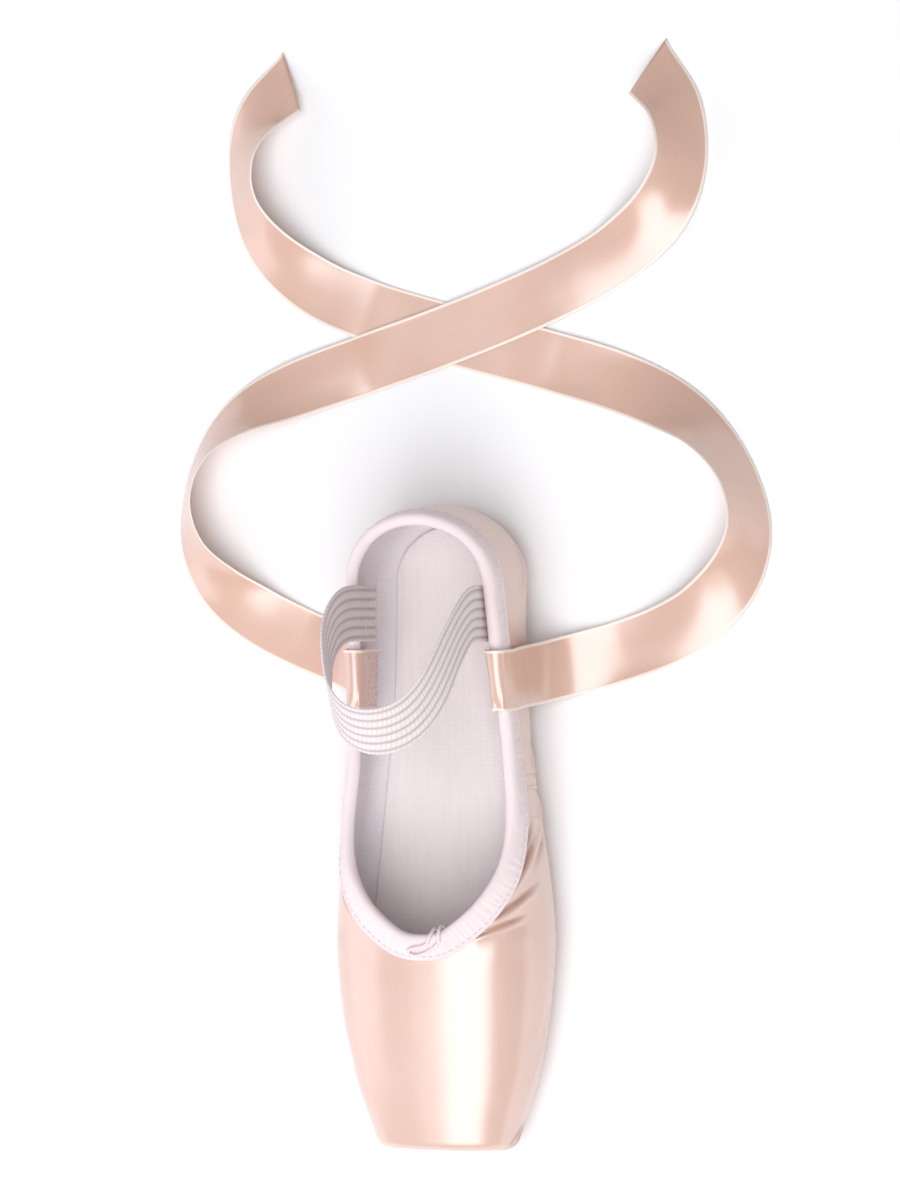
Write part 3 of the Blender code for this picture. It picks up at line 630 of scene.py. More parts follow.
def sole_half_width(along, inset=0.0):
    """Half width of the outsole: the blend of widths times the two ends' ellipses, sqrt(1 - t^2)."""
    shares = np.array(SOLE_OUTLINE)
    widths = shares[:, 1:] @ np.array([SOLE_BALL_WIDTH, SOLE_WAIST_WIDTH, SOLE_HEEL_WIDTH])
    share = np.clip((along - SOLE_TIP) / (HEEL_CENTRE - SOLE_TIP), 0, 1)
    half = smooth_curve(shares[:, 0], widths, share) / 2 - inset
    front = np.clip((along - SOLE_TIP - inset) / (SOLE_TIP_ROUND - inset), 0, 1)
    back = (along - HEEL_CENTRE) / (half * HEEL_DEPTH / (HEEL_WIDTH / 2))
    return half * np.sqrt(1 - (1 - front) ** 2) * np.sqrt(1 - np.clip(back, 0, 1) ** 2)


def hem_angle(station):
    """The angle at which a section ends over the outsole: where its half width is the sole's, drawn in."""
    along = np.clip(station, 0, HEEL_CENTRE)
    half, _, _, _, hem = section(along)
    share = np.clip(sole_half_width(along, SOLE_LAP) / (half + lap(along)), 1e-6, 1)
    angle = -np.arctan((share**-hem - 1) ** (1 / hem))
    return np.where(station <= SOLE_TIP + SOLE_LAP, -math.pi / 2, angle)


def underside(x, along, inset=0.0):
    """Height of the upper's underside over a point of the plan: the section's lower curve."""
    half, bulge, _, base, hem = section(np.minimum(along, HEEL_CENTRE))
    behind = np.maximum(along - HEEL_CENTRE, 0) * (HEEL_WIDTH / 2) / HEEL_DEPTH
    share = np.clip(np.hypot(x, behind) / (half + lap(along) - inset), 0, 1)
    return bulge - (bulge - base - inset) * (1 - share**hem) ** (1 / hem)


def eased(start, end, count):
    """Values crowded at the start: start + (end - start) * (k / count)^2."""
    return start + (end - start) * (np.arange(count) / count) ** 2


print("the sole ends", round(SOLE_BACK * 1000, 1), "mm behind the platform")

# %% [markdown]
# ## Creases
# Satin over a stiff box doesn't lie like paint. It drags from the throat towards the sides, breaks in a long
# fold where the box ends, and gathers in pleats under the toe. A crease is drawn here as a short line on the
# shoe, with a width and a depth. Across it the satin sinks as a bell curve, and rises in a softer one beside
# it. The line's points are stations in millimetres and degrees down from the crown, so each crease is placed
# as one would draw it on the shoe with chalk.

# %% The table of creases
CREASES = (
    # side, width, depth, ridge, then the line's points: station in mm, degrees from the crown
    (1, 0.8, 0.80, 0.65, ((76, 20), (78.5, 30), (81, 40), (83.5, 51), (86, 62))),
    (1, 0.9, 0.85, 0.85, ((80, 26), (84, 37), (87.5, 47), (91.5, 58), (95, 70), (98, 80))),
    (1, 0.9, 0.90, 0.90, ((87, 34), (92, 45), (97, 54), (103, 63), (111, 73), (119, 83))),
    (1, 1.0, 0.85, 0.70, ((98, 50), (104, 60), (112, 70), (121, 81))),
    (1, 1.2, 0.55, 0.35, ((99, 56), (107, 68), (117, 86))),
    (1, 3.0, 0.40, 0.30, ((72, 24), (79, 44), (86, 70))),
    (-1, 1.2, 0.85, 0.55, ((82, 32), (88, 45), (95, 57))),
    (-1, 1.3, 0.85, 0.65, ((90, 44), (99, 56), (111, 68))),
    (-1, 1.2, 0.55, 0.35, ((101, 56), (112, 68), (124, 84))),
    (-1, 3.0, 0.35, 0.25, ((68, 24), (76, 46), (83, 72))),
    (1, 1.8, 0.90, 0.70, ((128, 128), (121, 113), (113, 95), (105, 78), (99, 66))),
    (-1, 1.9, 0.90, 0.70, ((127, 132), (119, 116), (111, 97), (104, 81), (97, 65))),
    (1, 1.4, 0.40, 0.30, ((124, 118), (115, 104), (108, 92))),
    (-1, 1.4, 0.40, 0.30, ((122, 104), (114, 92), (108, 84))),
    (1, 2.6, 0.50, 0.35, ((134, 96), (143, 108), (151, 124))),
    (-1, 2.6, 0.50, 0.35, ((135, 90), (146, 104), (155, 122))),
    (1, 2.4, 0.45, 0.30, ((160, 72), (168, 88), (172, 106))),
    (-1, 2.4, 0.45, 0.30, ((156, 70), (166, 86), (172, 102))),
    (1, 2.8, 0.45, 0.35, ((196, 84), (210, 96), (222, 104))),
    (-1, 2.8, 0.45, 0.35, ((192, 80), (206, 94), (220, 106))),
    (1, 2.0, 0.40, 0.25, ((198, 108), (212, 116), (226, 120))),
    (-1, 2.0, 0.40, 0.25, ((200, 110), (214, 117), (228, 121))),
    (1, 4.5, 0.25, 0.12, ((20, 60), (38, 84), (58, 100))),
    (-1, 4.5, 0.25, 0.12, ((24, 56), (42, 80), (60, 96))),
    (1, 0.8, 0.60, 0.50, ((1, 70), (3.5, 84), (7, 94), (12, 99))),
    (1, 0.7, 0.50, 0.40, ((0.5, 96), (3, 106), (7, 111), (12, 113))),
    (1, 0.7, 0.45, 0.35, ((0.5, 114), (3.5, 119), (9, 122))),
    (-1, 0.8, 0.45, 0.35, ((1, 84), (4, 95), (8, 101), (13, 104))),
    (-1, 0.7, 0.45, 0.35, ((0.5, 106), (3.5, 113), (9, 117))),
)
MM_PER_DEGREE = 0.62


def crease_height_and_shade(station, turn):
    """Height in metres and shade that the creases add at a station and a turn in degrees, right positive.

    For each crease, t and d are the place along its nearest segment and the signed distance from it. It adds
    fade(t) * (ridge * bell(d - 1.7 width) - depth * bell(d)), where bell(d) is exp(-(d / width)^2). The
    shade is fade(t) * bell(d) in the creases that are deeper than 0.4 mm, in full from 0.9 mm.
    """
    total = np.zeros(np.broadcast(station, turn).shape)
    shade = np.zeros(total.shape)
    u, v = np.broadcast_arrays(station * 1000, turn * MM_PER_DEGREE)
    for side, width, depth, ridge, points in CREASES:
        line = np.array(points, float) * (1, side * MM_PER_DEGREE)
        run = distance_along(line)
        nearest = np.full(total.shape, np.inf)
        signed = np.zeros(total.shape)
        place = np.zeros(total.shape)
        for start, end, before in zip(line[:-1], line[1:], run[:-1]):
            way = end - start
            long = np.hypot(*way)
            t = np.clip(((u - start[0]) * way[0] + (v - start[1]) * way[1]) / long**2, 0, 1)
            gap_u, gap_v = u - start[0] - t * way[0], v - start[1] - t * way[1]
            gap = np.hypot(gap_u, gap_v)
            closer = gap < nearest
            nearest = np.where(closer, gap, nearest)
            signed = np.where(closer, np.sign(way[0] * gap_v - way[1] * gap_u) * side * gap, signed)
            place = np.where(closer, before + t * long, place)
        share = place / run[-1]
        fade = smooth_step(share / 0.28) * smooth_step((1 - share) / 0.35)
        trough = np.exp(-((nearest / width) ** 2))
        swell = np.exp(-(((signed - 1.7 * width) / (1.3 * width)) ** 2))
        total += fade * (ridge * swell - depth * trough)
        shade = np.maximum(shade, fade * trough * np.clip((depth - 0.4) / 0.5, 0, 1))
    return total / 1000, shade


print(len(CREASES), "creases, the deepest", max(row[2] for row in CREASES), "mm")

# %% [markdown]
# ## Pleats under the toe
# At the toe the satin is drawn in under the platform and gathered into sharp pleats, which fan out round the
# tip of the sole. Each pleat rises slowly and drops quickly, like a saw's tooth, and flattens as it leaves
# the sole. A place is described by how far it is round the tip, and how far it is out from it.

# %% Height of the pleats
PLEAT_CENTRE = SOLE_TIP + 0.013
PLEAT_RADIUS = 0.013
PLEAT_WIDTH = 0.0046
PLEAT_HEIGHT = 0.00115
PLEAT_LENGTH = 0.0145
PLEAT_END = 0.052


def pleat_height(points, normal):
    """Height = PLEAT_HEIGHT * tooth(q) * exp(-(r / length)^2) * how far the face looks down.

    q is the distance round the sole's tip: radius * angle in front of its centre, and straight on behind it.
    r is the distance out from the sole's edge, and a tooth rises over 78% of its width.
    """
    x, along = points[..., 0], points[..., 1] + MIDDLE
    ahead = np.maximum(PLEAT_CENTRE - along, 0)
    behind = np.maximum(along - PLEAT_CENTRE, 0)
    angle = np.arctan2(np.abs(x), ahead + 1e-9)
    q = np.sign(x) * (PLEAT_RADIUS * np.minimum(angle, math.pi / 2) + behind)
    out = np.where(behind > 0, np.abs(x) - sole_half_width(along), np.hypot(x, ahead) - PLEAT_RADIUS)
    uneven = q + 0.0011 * np.sin(q / 0.0037) + 0.0009 * np.sin(q / 0.0083 + 1.1)
    place = np.mod(uneven / PLEAT_WIDTH + 0.3, 1.0)
    tooth = np.where(place < 0.78, smooth_step(place / 0.78), 1 - smooth_step((place - 0.78) / 0.22))
    reach = PLEAT_LENGTH * (1 + 0.35 * np.sin(q / 0.0061 + 0.7))
    down = smooth_step((-normal[..., 2] - 0.05) / 0.6)
    ending = smooth_step((PLEAT_END - along) / 0.018)
    return PLEAT_HEIGHT * tooth * np.exp(-((np.maximum(out, 0) / reach) ** 2)) * down * ending


print("a pleat is", PLEAT_WIDTH * 1000, "mm wide and", PLEAT_HEIGHT * 1000, "mm high")

# %% [markdown]
# ## The satin of the vamp and the quarters
# The upper has a front piece, the vamp, and two quarters, whose folded edge is sewn over the vamp at the side
# seam. Both are the last's face plus a small height: a slow unevenness from the hand-laid paste, the creases,
# the pleats, and gathers where the satin turns in under the sole. Each is built as a right and a left half
# on the same grid, joined along the middle, and Solidify gives it the thickness of satin with its backing.

# %% Height of the satin over the last
SATIN_THICKNESS = 0.00035
HEM_ROUND = 0.018
TAPE_EDGE = 0.0073
WING_STATION = 0.119
SEAM_ROWS = (0.1304, 0.1344)


def satin_height(station, turn, points, normal):
    """Unevenness + creases + pleats + gathers at the hem + the wing's soft edge + dents at the seams."""
    radians = np.radians(turn)
    slow = 0.00016 * np.sin(station / 0.0071 + 1.3) * np.cos(2 * radians + 0.4)
    slow = slow + 0.00012 * np.sin(station / 0.0113 + 0.5) * np.cos(3 * radians)
    slow = slow * smooth_step(station / 0.02) * smooth_step((BACK_STATION - station) / 0.02)
    hem = np.degrees(math.pi / 2 - hem_angle(station))
    from_hem = np.maximum(hem - np.abs(turn), 0) * MM_PER_DEGREE
    gather = 0.00020 * np.exp(-((from_hem / 5.5) ** 2)) * (1 + np.sin(station / 0.00083 + np.abs(radians)))
    gather = gather * smooth_step((station - 0.040) / 0.02) * smooth_step((0.200 - station) / 0.02)
    wing = 0.00022 * (1 - smooth_step((station - WING_STATION) / 0.0016))
    wing = wing * smooth_step((station - WING_STATION + 0.02) / 0.02)
    dents = -0.00010 * np.exp(-(((station - WING_STATION) / 0.0010) ** 2))
    for row in SEAM_ROWS:
        dents = dents - 0.00016 * np.exp(-(((station - row) / 0.0009) ** 2))
    ridge_off = points[..., 0] / 0.0011
    back_seam = 0.00035 * np.exp(-(ridge_off**2)) - 0.00018 * np.exp(-((np.abs(ridge_off) - 2.2) ** 2))
    back_seam = back_seam * smooth_step((station - HEEL_CENTRE) / (HEEL_SWEEP * 0.5))
    total = slow + gather + wing + dents + back_seam
    return total + crease_height_and_shade(station, turn)[0] + pleat_height(points, normal)


def satin_shade(station, turn, down):
    """Shade in the creases, and under the casing's edge, where down is the distance below the topline."""
    beside = np.exp(-(((down - TAPE_EDGE) / 0.0008) ** 2)) * smooth_step((station - VAMP_LENGTH) / 0.004)
    return np.maximum(crease_height_and_shade(station, turn)[1], np.where(turn < 0, 0.75, 0.3) * beside)


def shell_half(stations, count, side, height, inward=0.0, lapped=0.0, shade=None):
    """Half of a shell: the last's face on a grid of stations and angles, moved by height - inward * wall.

    Returns the points, their UV and their shade.
    """
    low, high = hem_angle(stations)[:, None], topline_angle(stations)[:, None]
    angles = mix(low, high, np.linspace(0, 1, count)[None, :])
    at = np.broadcast_to(stations[:, None], angles.shape)
    face, normal = last_face(at, angles, lapped), outward(at, angles, lapped)
    face, normal = face * (side, 1, 1), normal * (side, 1, 1)
    middle = np.abs(face[..., 0]) < 1e-6
    normal[..., 0][middle] = 0
    turn = side * np.degrees(math.pi / 2 - angles)
    out = height(at, turn, face, normal) - inward * wall(at)
    moved = face + unit(normal) * out[..., None]
    moved[..., 0][middle] = 0
    across = np.concatenate(
        [np.zeros((len(at), 1)), np.cumsum(np.linalg.norm(np.diff(face, axis=1), axis=2), axis=1)], axis=1
    )
    down = across[:, -1:] - across
    dark = np.zeros(at.shape) if shade is None else shade(at, turn, down)
    return moved, np.stack([side * down, at], axis=-1), dark


def shell(name, stations, count, slot, **how):
    """Both halves of a shell, from the hem to the topline, in one mesh with its faces outwards."""
    halves = [shell_half(stations, count, side, **how) for side in (1, -1)]
    points, uv, dark = (np.concatenate(both) for both in zip(*halves))
    quads = grid_quads(len(stations), count)
    quads = np.concatenate([quads, quads[:, ::-1] + len(stations) * count])
    piece = make_mesh(name, points, quads, uv, weld=SEAM_WELD, shade=dark)
    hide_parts("upper")
    return piece


def box_stations(platform, edge, tip, hem, box):
    """Stations up to the throat, from five counts, crowded where the opening under the sole begins."""
    opening = SOLE_TIP + SOLE_LAP
    return np.concatenate(
        [
            np.linspace(-PLATFORM_REACH, 0, platform)[:-1],
            np.linspace(0, PLATFORM_EDGE_RADIUS, edge)[:-1],
            np.linspace(PLATFORM_EDGE_RADIUS, opening, tip)[:-1],
            eased(opening, opening + HEM_ROUND, hem),
            np.linspace(opening + HEM_ROUND, VAMP_LENGTH, box)[:-1],
        ]
    )


def solidify(piece, thickness):
    """Grows the wall inwards."""
    wall_maker = piece.modifiers.new("thickness", "SOLIDIFY")
    wall_maker.thickness = thickness
    wall_maker.offset = -1


print("the seam's rows are", [round(row * 1000, 1) for row in SEAM_ROWS], "mm behind the platform")

# %% [markdown]
# The vamp runs from the middle of the platform to just behind the side seam, where it ends under the
# quarters. Its grid is finer beside the throat and behind it, where the creases are narrow.

# %% Make the vamp
VAMP_END = 0.1335
THROAT_BAND = 0.004
vamp_stations = np.concatenate(
    [
        box_stations(9, 8, 19, 18, 28),
        np.linspace(VAMP_LENGTH, VAMP_LENGTH + THROAT_BAND, 20)[:-1],
        np.linspace(VAMP_LENGTH + THROAT_BAND, VAMP_END, 82),
    ]
)
vamp = shell(
    "vamp_satin",
    vamp_stations,
    126,
    "satin",
    height=satin_height,
    shade=satin_shade,
)
solidify(vamp, SATIN_THICKNESS)
print("the vamp has", len(vamp.data.polygons), "faces before its thickness")

# %% [markdown]
# The quarters start at the side seam with a folded edge, which stands out over the vamp and catches a
# thin light. Behind the heel's centre they swing round and meet in the back seam.

# %% Make the quarters
quarter_stations = np.concatenate(
    [
        SEAM_STATION + np.linspace(0, 0.0085, 26)[:-1],
        np.linspace(SEAM_STATION + 0.0085, HEEL_CENTRE, 68)[:-1],
        np.linspace(HEEL_CENTRE, BACK_STATION, 44),
    ]
)


def quarter_height(station, turn, points, normal):
    """The satin's height plus the folded edge: a quarter circle's rise over half a millimetre."""
    roll = np.clip((station - SEAM_STATION) / 0.0006, 0, 1)
    fold = SEAM_STEP * np.sqrt(1 - (1 - roll) ** 2) + 0.00015 * np.exp(-(((station - 0.1298) / 0.0008) ** 2))
    return fold + satin_height(station, turn, points, normal)


quarters = shell(
    "quarters_satin",
    quarter_stations,
    104,
    "satin",
    height=quarter_height,
    shade=satin_shade,
)
solidify(quarters, SATIN_THICKNESS)
print("the quarters have", len(quarters.data.polygons), "faces before their thickness")

# %% [markdown]
# ## The lining
# Inside, a cotton lining covers the box and the quarters. It is the same face moved inwards by the wall's
# thickness, and it runs from the platform's inside to the heel, so the shoe is a real hollow with a wall.

# %% Make the lining
LINING_THICKNESS = 0.0004
PUCKER_HEIGHT = 0.00012
lining_stations = np.concatenate(
    [
        box_stations(6, 6, 8, 10, 20),
        eased(VAMP_LENGTH, VAMP_LENGTH + THROAT_ROUND, 24),
        np.linspace(VAMP_LENGTH + THROAT_ROUND, HEEL_CENTRE, 48)[:-1],
        np.linspace(HEEL_CENTRE, BACK_STATION, 24),
    ]
)


def lining_height(station, turn, points, normal):
    """The lining's thickness outwards, plus soft puckers near the opening."""
    edge = np.degrees(math.pi / 2 - topline_angle(station))
    from_edge = np.maximum(np.abs(turn) - edge, 0) * MM_PER_DEGREE
    wave = PUCKER_HEIGHT * np.sin(station / 0.0016 + radial_phase(turn))
    pucker = wave * np.exp(-((from_edge / 14) ** 2))
    return LINING_THICKNESS + pucker - PUCKER_HEIGHT


def radial_phase(turn):
    """A slow change of phase round the section."""
    return 3 * np.sin(np.radians(turn) * 2)


lining = shell(
    "lining_canvas",
    lining_stations,
    64,
    "lining_canvas",
    inward=1.0,
    lapped=1.0,
    height=lining_height,
)
solidify(lining, LINING_THICKNESS)
print("the lining has", len(lining.data.polygons), "faces before its thickness")

# %% [markdown]
# ## The casing
# The raw edge of the opening is bound with a cotton tape, folded over the wall and sewn down, with the
# drawstring running inside it. At each station the tape's cross-section is a channel that hugs the wall. To
# carry it round the opening, one needs the way out from the face and the way down from the edge.

# %% Sizes of the casing
CASING_OUTSIDE = 0.0070
CASING_INSIDE = 0.0050
CASING_THICKNESS = 0.0008
CASING_RISE = 0.0022
CASING_LAP = 0.012
CASING_CLEARANCE = 0.0004


def topline_stations(throat, vamp_side, quarter_side, back):
    """Stations round the opening, crowded at the throat, where the edge turns."""
    round_throat = VAMP_LENGTH + THROAT_ROUND
    return np.concatenate(
        [
            eased(VAMP_LENGTH, round_throat, throat),
            np.linspace(round_throat, SEAM_STATION + SEAM_RAMP, vamp_side)[:-1],
            np.linspace(SEAM_STATION + SEAM_RAMP, HEEL_CENTRE, quarter_side)[:-1],
            np.linspace(HEEL_CENTRE, BACK_STATION, back),
        ]
    )


def topline_frames(stations):
    """For each station: the topline's angle, the steps of station and angle per metre down, out and down.

    Down is the tangent crossed with the normal. The steps solve the least-squares problem
    along * a + around * b = down, whose two unknowns come from the 2 by 2 normal equations.
    """
    step = SMALL_STEP
    angles = topline_angle(stations)
    tangent = last_face(stations + step, topline_angle(stations + step), 0.0)
    tangent = tangent - last_face(stations - step, topline_angle(stations - step), 0.0)
    inside = np.minimum(stations, BACK_STATION - step)
    normal = outward(inside, np.minimum(angles, math.pi / 2 - step), 0.0)
    at_throat, at_back = stations <= VAMP_LENGTH, stations >= BACK_STATION
    tangent[at_throat] = (1, 0, 0)
    tangent[at_back] = (-1, 0, 0)
    normal[at_throat | at_back, 0] = 0
    down = unit(np.cross(tangent, normal))
    along = (last_face(inside + step, angles, 0.0) - last_face(inside - step, angles, 0.0)) / (2 * step)
    around = (last_face(inside, angles + step, 0.0) - last_face(inside, angles - step, 0.0)) / (2 * step)
    aa, ab, bb = (along * along).sum(1), (along * around).sum(1), (around * around).sum(1)
    ad, bd = (along * down).sum(1), (around * down).sum(1)
    whole = aa * bb - ab * ab
    return angles, (ad * bb - bd * ab) / whole, (bd * aa - ad * ab) / whole, normal, down


print("the tape covers", CASING_OUTSIDE * 1000, "mm outside and", CASING_INSIDE * 1000, "mm inside")

# %% [markdown]
# The tape's outline is drawn with a few pins: up the outside, round the rolled edge, and down the inside.
# Four more pins draw the slot that leaves room for the wall.

# %% The casing's cross-section
casing_outer = CASING_CLEARANCE + CASING_THICKNESS
casing_inner = -QUARTER_WALL - casing_outer
outline_pins = np.array(
    [
        # out from the face, down from the topline
        (CASING_CLEARANCE + 0.0001, CASING_OUTSIDE + 0.0001),
        (casing_outer - 0.0001, CASING_OUTSIDE * 0.985),
        (casing_outer, CASING_OUTSIDE * 0.92),
        (casing_outer - 0.00018, CASING_OUTSIDE * 0.80),
        (casing_outer + 0.00010, CASING_OUTSIDE * 0.60),
        (casing_outer + 0.00022, CASING_OUTSIDE * 0.30),
        (casing_outer + 0.00030, 0),
        (casing_outer * 0.72, -CASING_RISE * 0.70),
        (-QUARTER_WALL / 2, -CASING_RISE),
        (casing_inner - CASING_THICKNESS * 0.30, -CASING_RISE * 0.55),
        (casing_inner - 0.00008, CASING_INSIDE * 0.30),
        (casing_inner + 0.00012, CASING_INSIDE * 0.70),
        (casing_inner, CASING_INSIDE * 0.94),
        (casing_inner + 0.0003, CASING_INSIDE + 0.0001),
    ]
)
slot_pins = np.array(
    [
        (casing_inner + CASING_THICKNESS - 0.0001, CASING_INSIDE * 0.97),
        (-QUARTER_WALL - CASING_CLEARANCE, -CASING_CLEARANCE),
        (CASING_CLEARANCE, -CASING_CLEARANCE),
        (CASING_CLEARANCE, CASING_OUTSIDE * 0.5),
    ]
)
outline = smooth_rows(outline_pins, 33)
casing_profile = np.concatenate([outline, slot_pins])
print("the casing's cross-section has", len(casing_profile), "points")


# %% [markdown]
# The cross-section is now carried round the opening. Where the quarters lap the vamp, the tape steps out
# with them, and it follows the face's own curve below the edge.

# %% Carry the cross-section round the opening
def casing_points(stations, profile, pucker):
    """Points of the profile at each station, and the way out from the face there.

    A point is face + normal * (out + ramp + pucker) + down * what is over the edge.
    """
    angles, per_station, per_angle, normal, down = topline_frames(stations)
    early = SEAM_STEP * smooth_step((stations - SEAM_STATION + 1.5 * CASING_LAP) / CASING_LAP)
    late = SEAM_STEP * smooth_step((stations - SEAM_STATION - 0.5 * CASING_LAP) / CASING_LAP)
    out, depth = profile[None, :, 0], profile[None, :, 1]
    below = np.maximum(depth, 0)
    at = stations[:, None] + per_station[:, None] * below
    angle = angles[:, None] + per_angle[:, None] * below
    face = last_face(at, angle, 0.0)
    inside = np.minimum(at, BACK_STATION - SMALL_STEP)
    facing = outward(inside, np.minimum(angle, math.pi / 2 - SMALL_STEP), 0.0)
    middle = (stations <= VAMP_LENGTH) | (stations >= BACK_STATION)
    face[middle, :, 0] = 0
    facing[middle, :, 0] = 0
    ramp = np.where(out > 0, early[:, None], late[:, None])
    over = np.minimum(depth, 0)
    points = face + facing * (out + ramp + pucker)[..., None] + down[:, None, :] * over[..., None]
    return points, facing


edge_stations = topline_stations(130, 40, 150, 90)
edge_line = casing_points(edge_stations, np.array([(0.0, 0.0)]), 0.0)[0][:, 0]
edge_run = distance_along(edge_line)
print("the opening's edge is", round(2 * edge_run[-1] * 1000), "mm round")

# %% [markdown]
# The tape is pulled up by its drawstring and stitches, so it puckers: small folds cross it, deepest between
# the row of stitches and the rolled edge, and stronger round the throat, where the tape is turned tightest.

# %% Make the casing
def pucker_height(run, depth, side):
    """Two sines along the edge, times a bell that peaks between the stitches and the rolled edge."""
    wave = np.sin(run / 0.00036 + 2 * np.sin(run / 0.0029 + side)) + 0.6 * np.sin(run / 0.00057 + side)
    middle = np.exp(-(((depth - 0.0028) / 0.0030) ** 2))
    throat = 1 + 1.2 * np.exp(-((run / 0.030) ** 2))
    slow = 0.00007 * np.sin(run / 0.0047 + side) * np.exp(-(((depth + 0.001) / 0.003) ** 2))
    return 0.000055 * wave * middle * throat + slow


FADE_LENGTH = 0.003
out, depth = casing_profile.T[:, None, :]
shown = np.concatenate([np.ones(len(outline)), np.zeros(len(slot_pins))])[None, :]
lean_out = np.where(out > -QUARTER_WALL / 2, 1, -1)
# Both halves meet in the middle of the throat and at the heel, where the puckers fade out.
fade = smooth_step(edge_run / FADE_LENGTH) * smooth_step((edge_run[-1] - edge_run) / FADE_LENGTH)
casing_halves = []
for side in (1, -1):
    pucker = pucker_height(edge_run[:, None], depth, side) * fade[:, None] * shown * lean_out
    casing_halves.append(casing_points(edge_stations, casing_profile, pucker)[0] * (side, 1, 1))
around = distance_along(np.concatenate([casing_profile, casing_profile[:1]]))[:-1]
casing_uv = np.stack(np.broadcast_arrays(around[None, :], edge_run[:, None]), axis=-1)
quads = grid_quads(len(edge_stations), len(casing_profile), around=True)
quads = np.concatenate([quads, quads[:, ::-1] + len(edge_stations) * len(casing_profile)])
casing = make_mesh(
    "casing_tape",
    np.concatenate(casing_halves),
    quads,
    np.concatenate([casing_uv, casing_uv * (1, -1)]),
    weld=SEAM_WELD,
)
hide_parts("casing")
print("the casing has", len(casing.data.polygons), "faces")

# %% [markdown]
# ## The elastic
# A woven elastic is sewn inside both quarters and arches over the ankle, leaning towards the toe. Covered
# rubber cords run along it, which show as ribs between thinner gauze. Its cross-section is a row of humps.

# %% The elastic's line and cross-section
ELASTIC_WIDTH = 0.020
ELASTIC_THICKNESS = 0.0012
ELASTIC_STATION = 0.192
ELASTIC_TAB = 0.018
ELASTIC_REACH = 0.066
ELASTIC_LEAN = math.radians(38)
ELASTIC_SPREAD = 0.031
ELASTIC_RIBS = 7
ELASTIC_GAP = 0.00045
TAB_STEPS, ARCH_STEPS = 24, 193

solid_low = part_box("elastic")[0]
foot_stations = np.linspace(ELASTIC_STATION - ELASTIC_WIDTH / 2, ELASTIC_STATION + ELASTIC_WIDTH / 2, 33)
foot_casing = casing_points(foot_stations, casing_profile, 0.0)[0]
foot_x = foot_casing[..., 0].min() - ELASTIC_GAP - ELASTIC_THICKNESS / 2
foot_y = ELASTIC_STATION - MIDDLE
foot_z = solid_low[2]
clear_z = foot_z + ELASTIC_TAB


def elastic_line():
    """Middle line, tangent and width of the elastic: up a tab, over an arch, and down a tab.

    With t from 0 to 180 degrees, x = foot cos t + (spread - foot) cos t sin t, and the climb is reach sin t,
    tipped towards the toe by a lean that grows smoothly with sin t.
    """
    turns = np.linspace(0, math.pi, ARCH_STEPS)
    climb = ELASTIC_REACH * np.sin(turns)
    leaning = smooth_step(np.sin(turns)) * ELASTIC_LEAN
    arch_x = foot_x * np.cos(turns) + (ELASTIC_SPREAD - foot_x) * np.cos(turns) * np.sin(turns)
    arch = np.stack([arch_x, foot_y - climb * np.sin(leaning), clear_z + climb * np.cos(leaning)], axis=1)
    rise = np.linspace(foot_z, clear_z, TAB_STEPS + 1)[:-1]
    tab = np.stack([np.full(TAB_STEPS, foot_x), np.full(TAB_STEPS, foot_y), rise], axis=1)
    line = np.concatenate([tab, arch, (tab * (-1, 1, 1))[::-1]])
    lean = np.concatenate([np.zeros(TAB_STEPS), leaning, np.zeros(TAB_STEPS)])
    tangent = unit(np.gradient(line, axis=0))
    width = np.stack([np.zeros_like(lean), np.cos(lean), np.sin(lean)], axis=1)
    return line, tangent, unit(width - tangent * np.sum(width * tangent, axis=1, keepdims=True))


elastic_across = np.linspace(-1, 1, 8 * ELASTIC_RIBS + 1)
rib = np.abs(np.cos(elastic_across * (ELASTIC_RIBS - 1) * math.pi / 2)) ** 0.7
elastic_thick = (0.00022 + 0.00034 * rib) * np.sqrt(1 - 0.9 * np.abs(elastic_across) ** 30)
line, tangent, width = elastic_line()
run = distance_along(line)[:, None]
wave = 0.00018 * np.sin(run / 0.0041) * np.abs(elastic_across) ** 4
free = smooth_step((line[:, 2:3] - clear_z - 0.004) / 0.01)
elastic_rings = strip_rings(
    line, tangent, width, ELASTIC_WIDTH / 2, elastic_across, elastic_thick, wave * free
)
elastic = tube(elastic_rings, strip_uv(line, elastic_across, ELASTIC_WIDTH / 2), "elastic_webbing")
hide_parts("elastic")
print("the elastic is", round(run[-1, 0] * 1000), "mm long with", len(elastic.data.polygons), "faces")

# %% [markdown]
# ## The outsole
# The sole is one thin piece of leather, smaller than the shoe, sewn on inside out and turned, so the seam
# hides in a closed channel near its edge. Its upper face follows the hem of the satin, and its lower face
# has flat spots under the ball and the heel. The cut edge is rounded by wear.

# %% A plate between two heights
EDGE_STEPS = 4


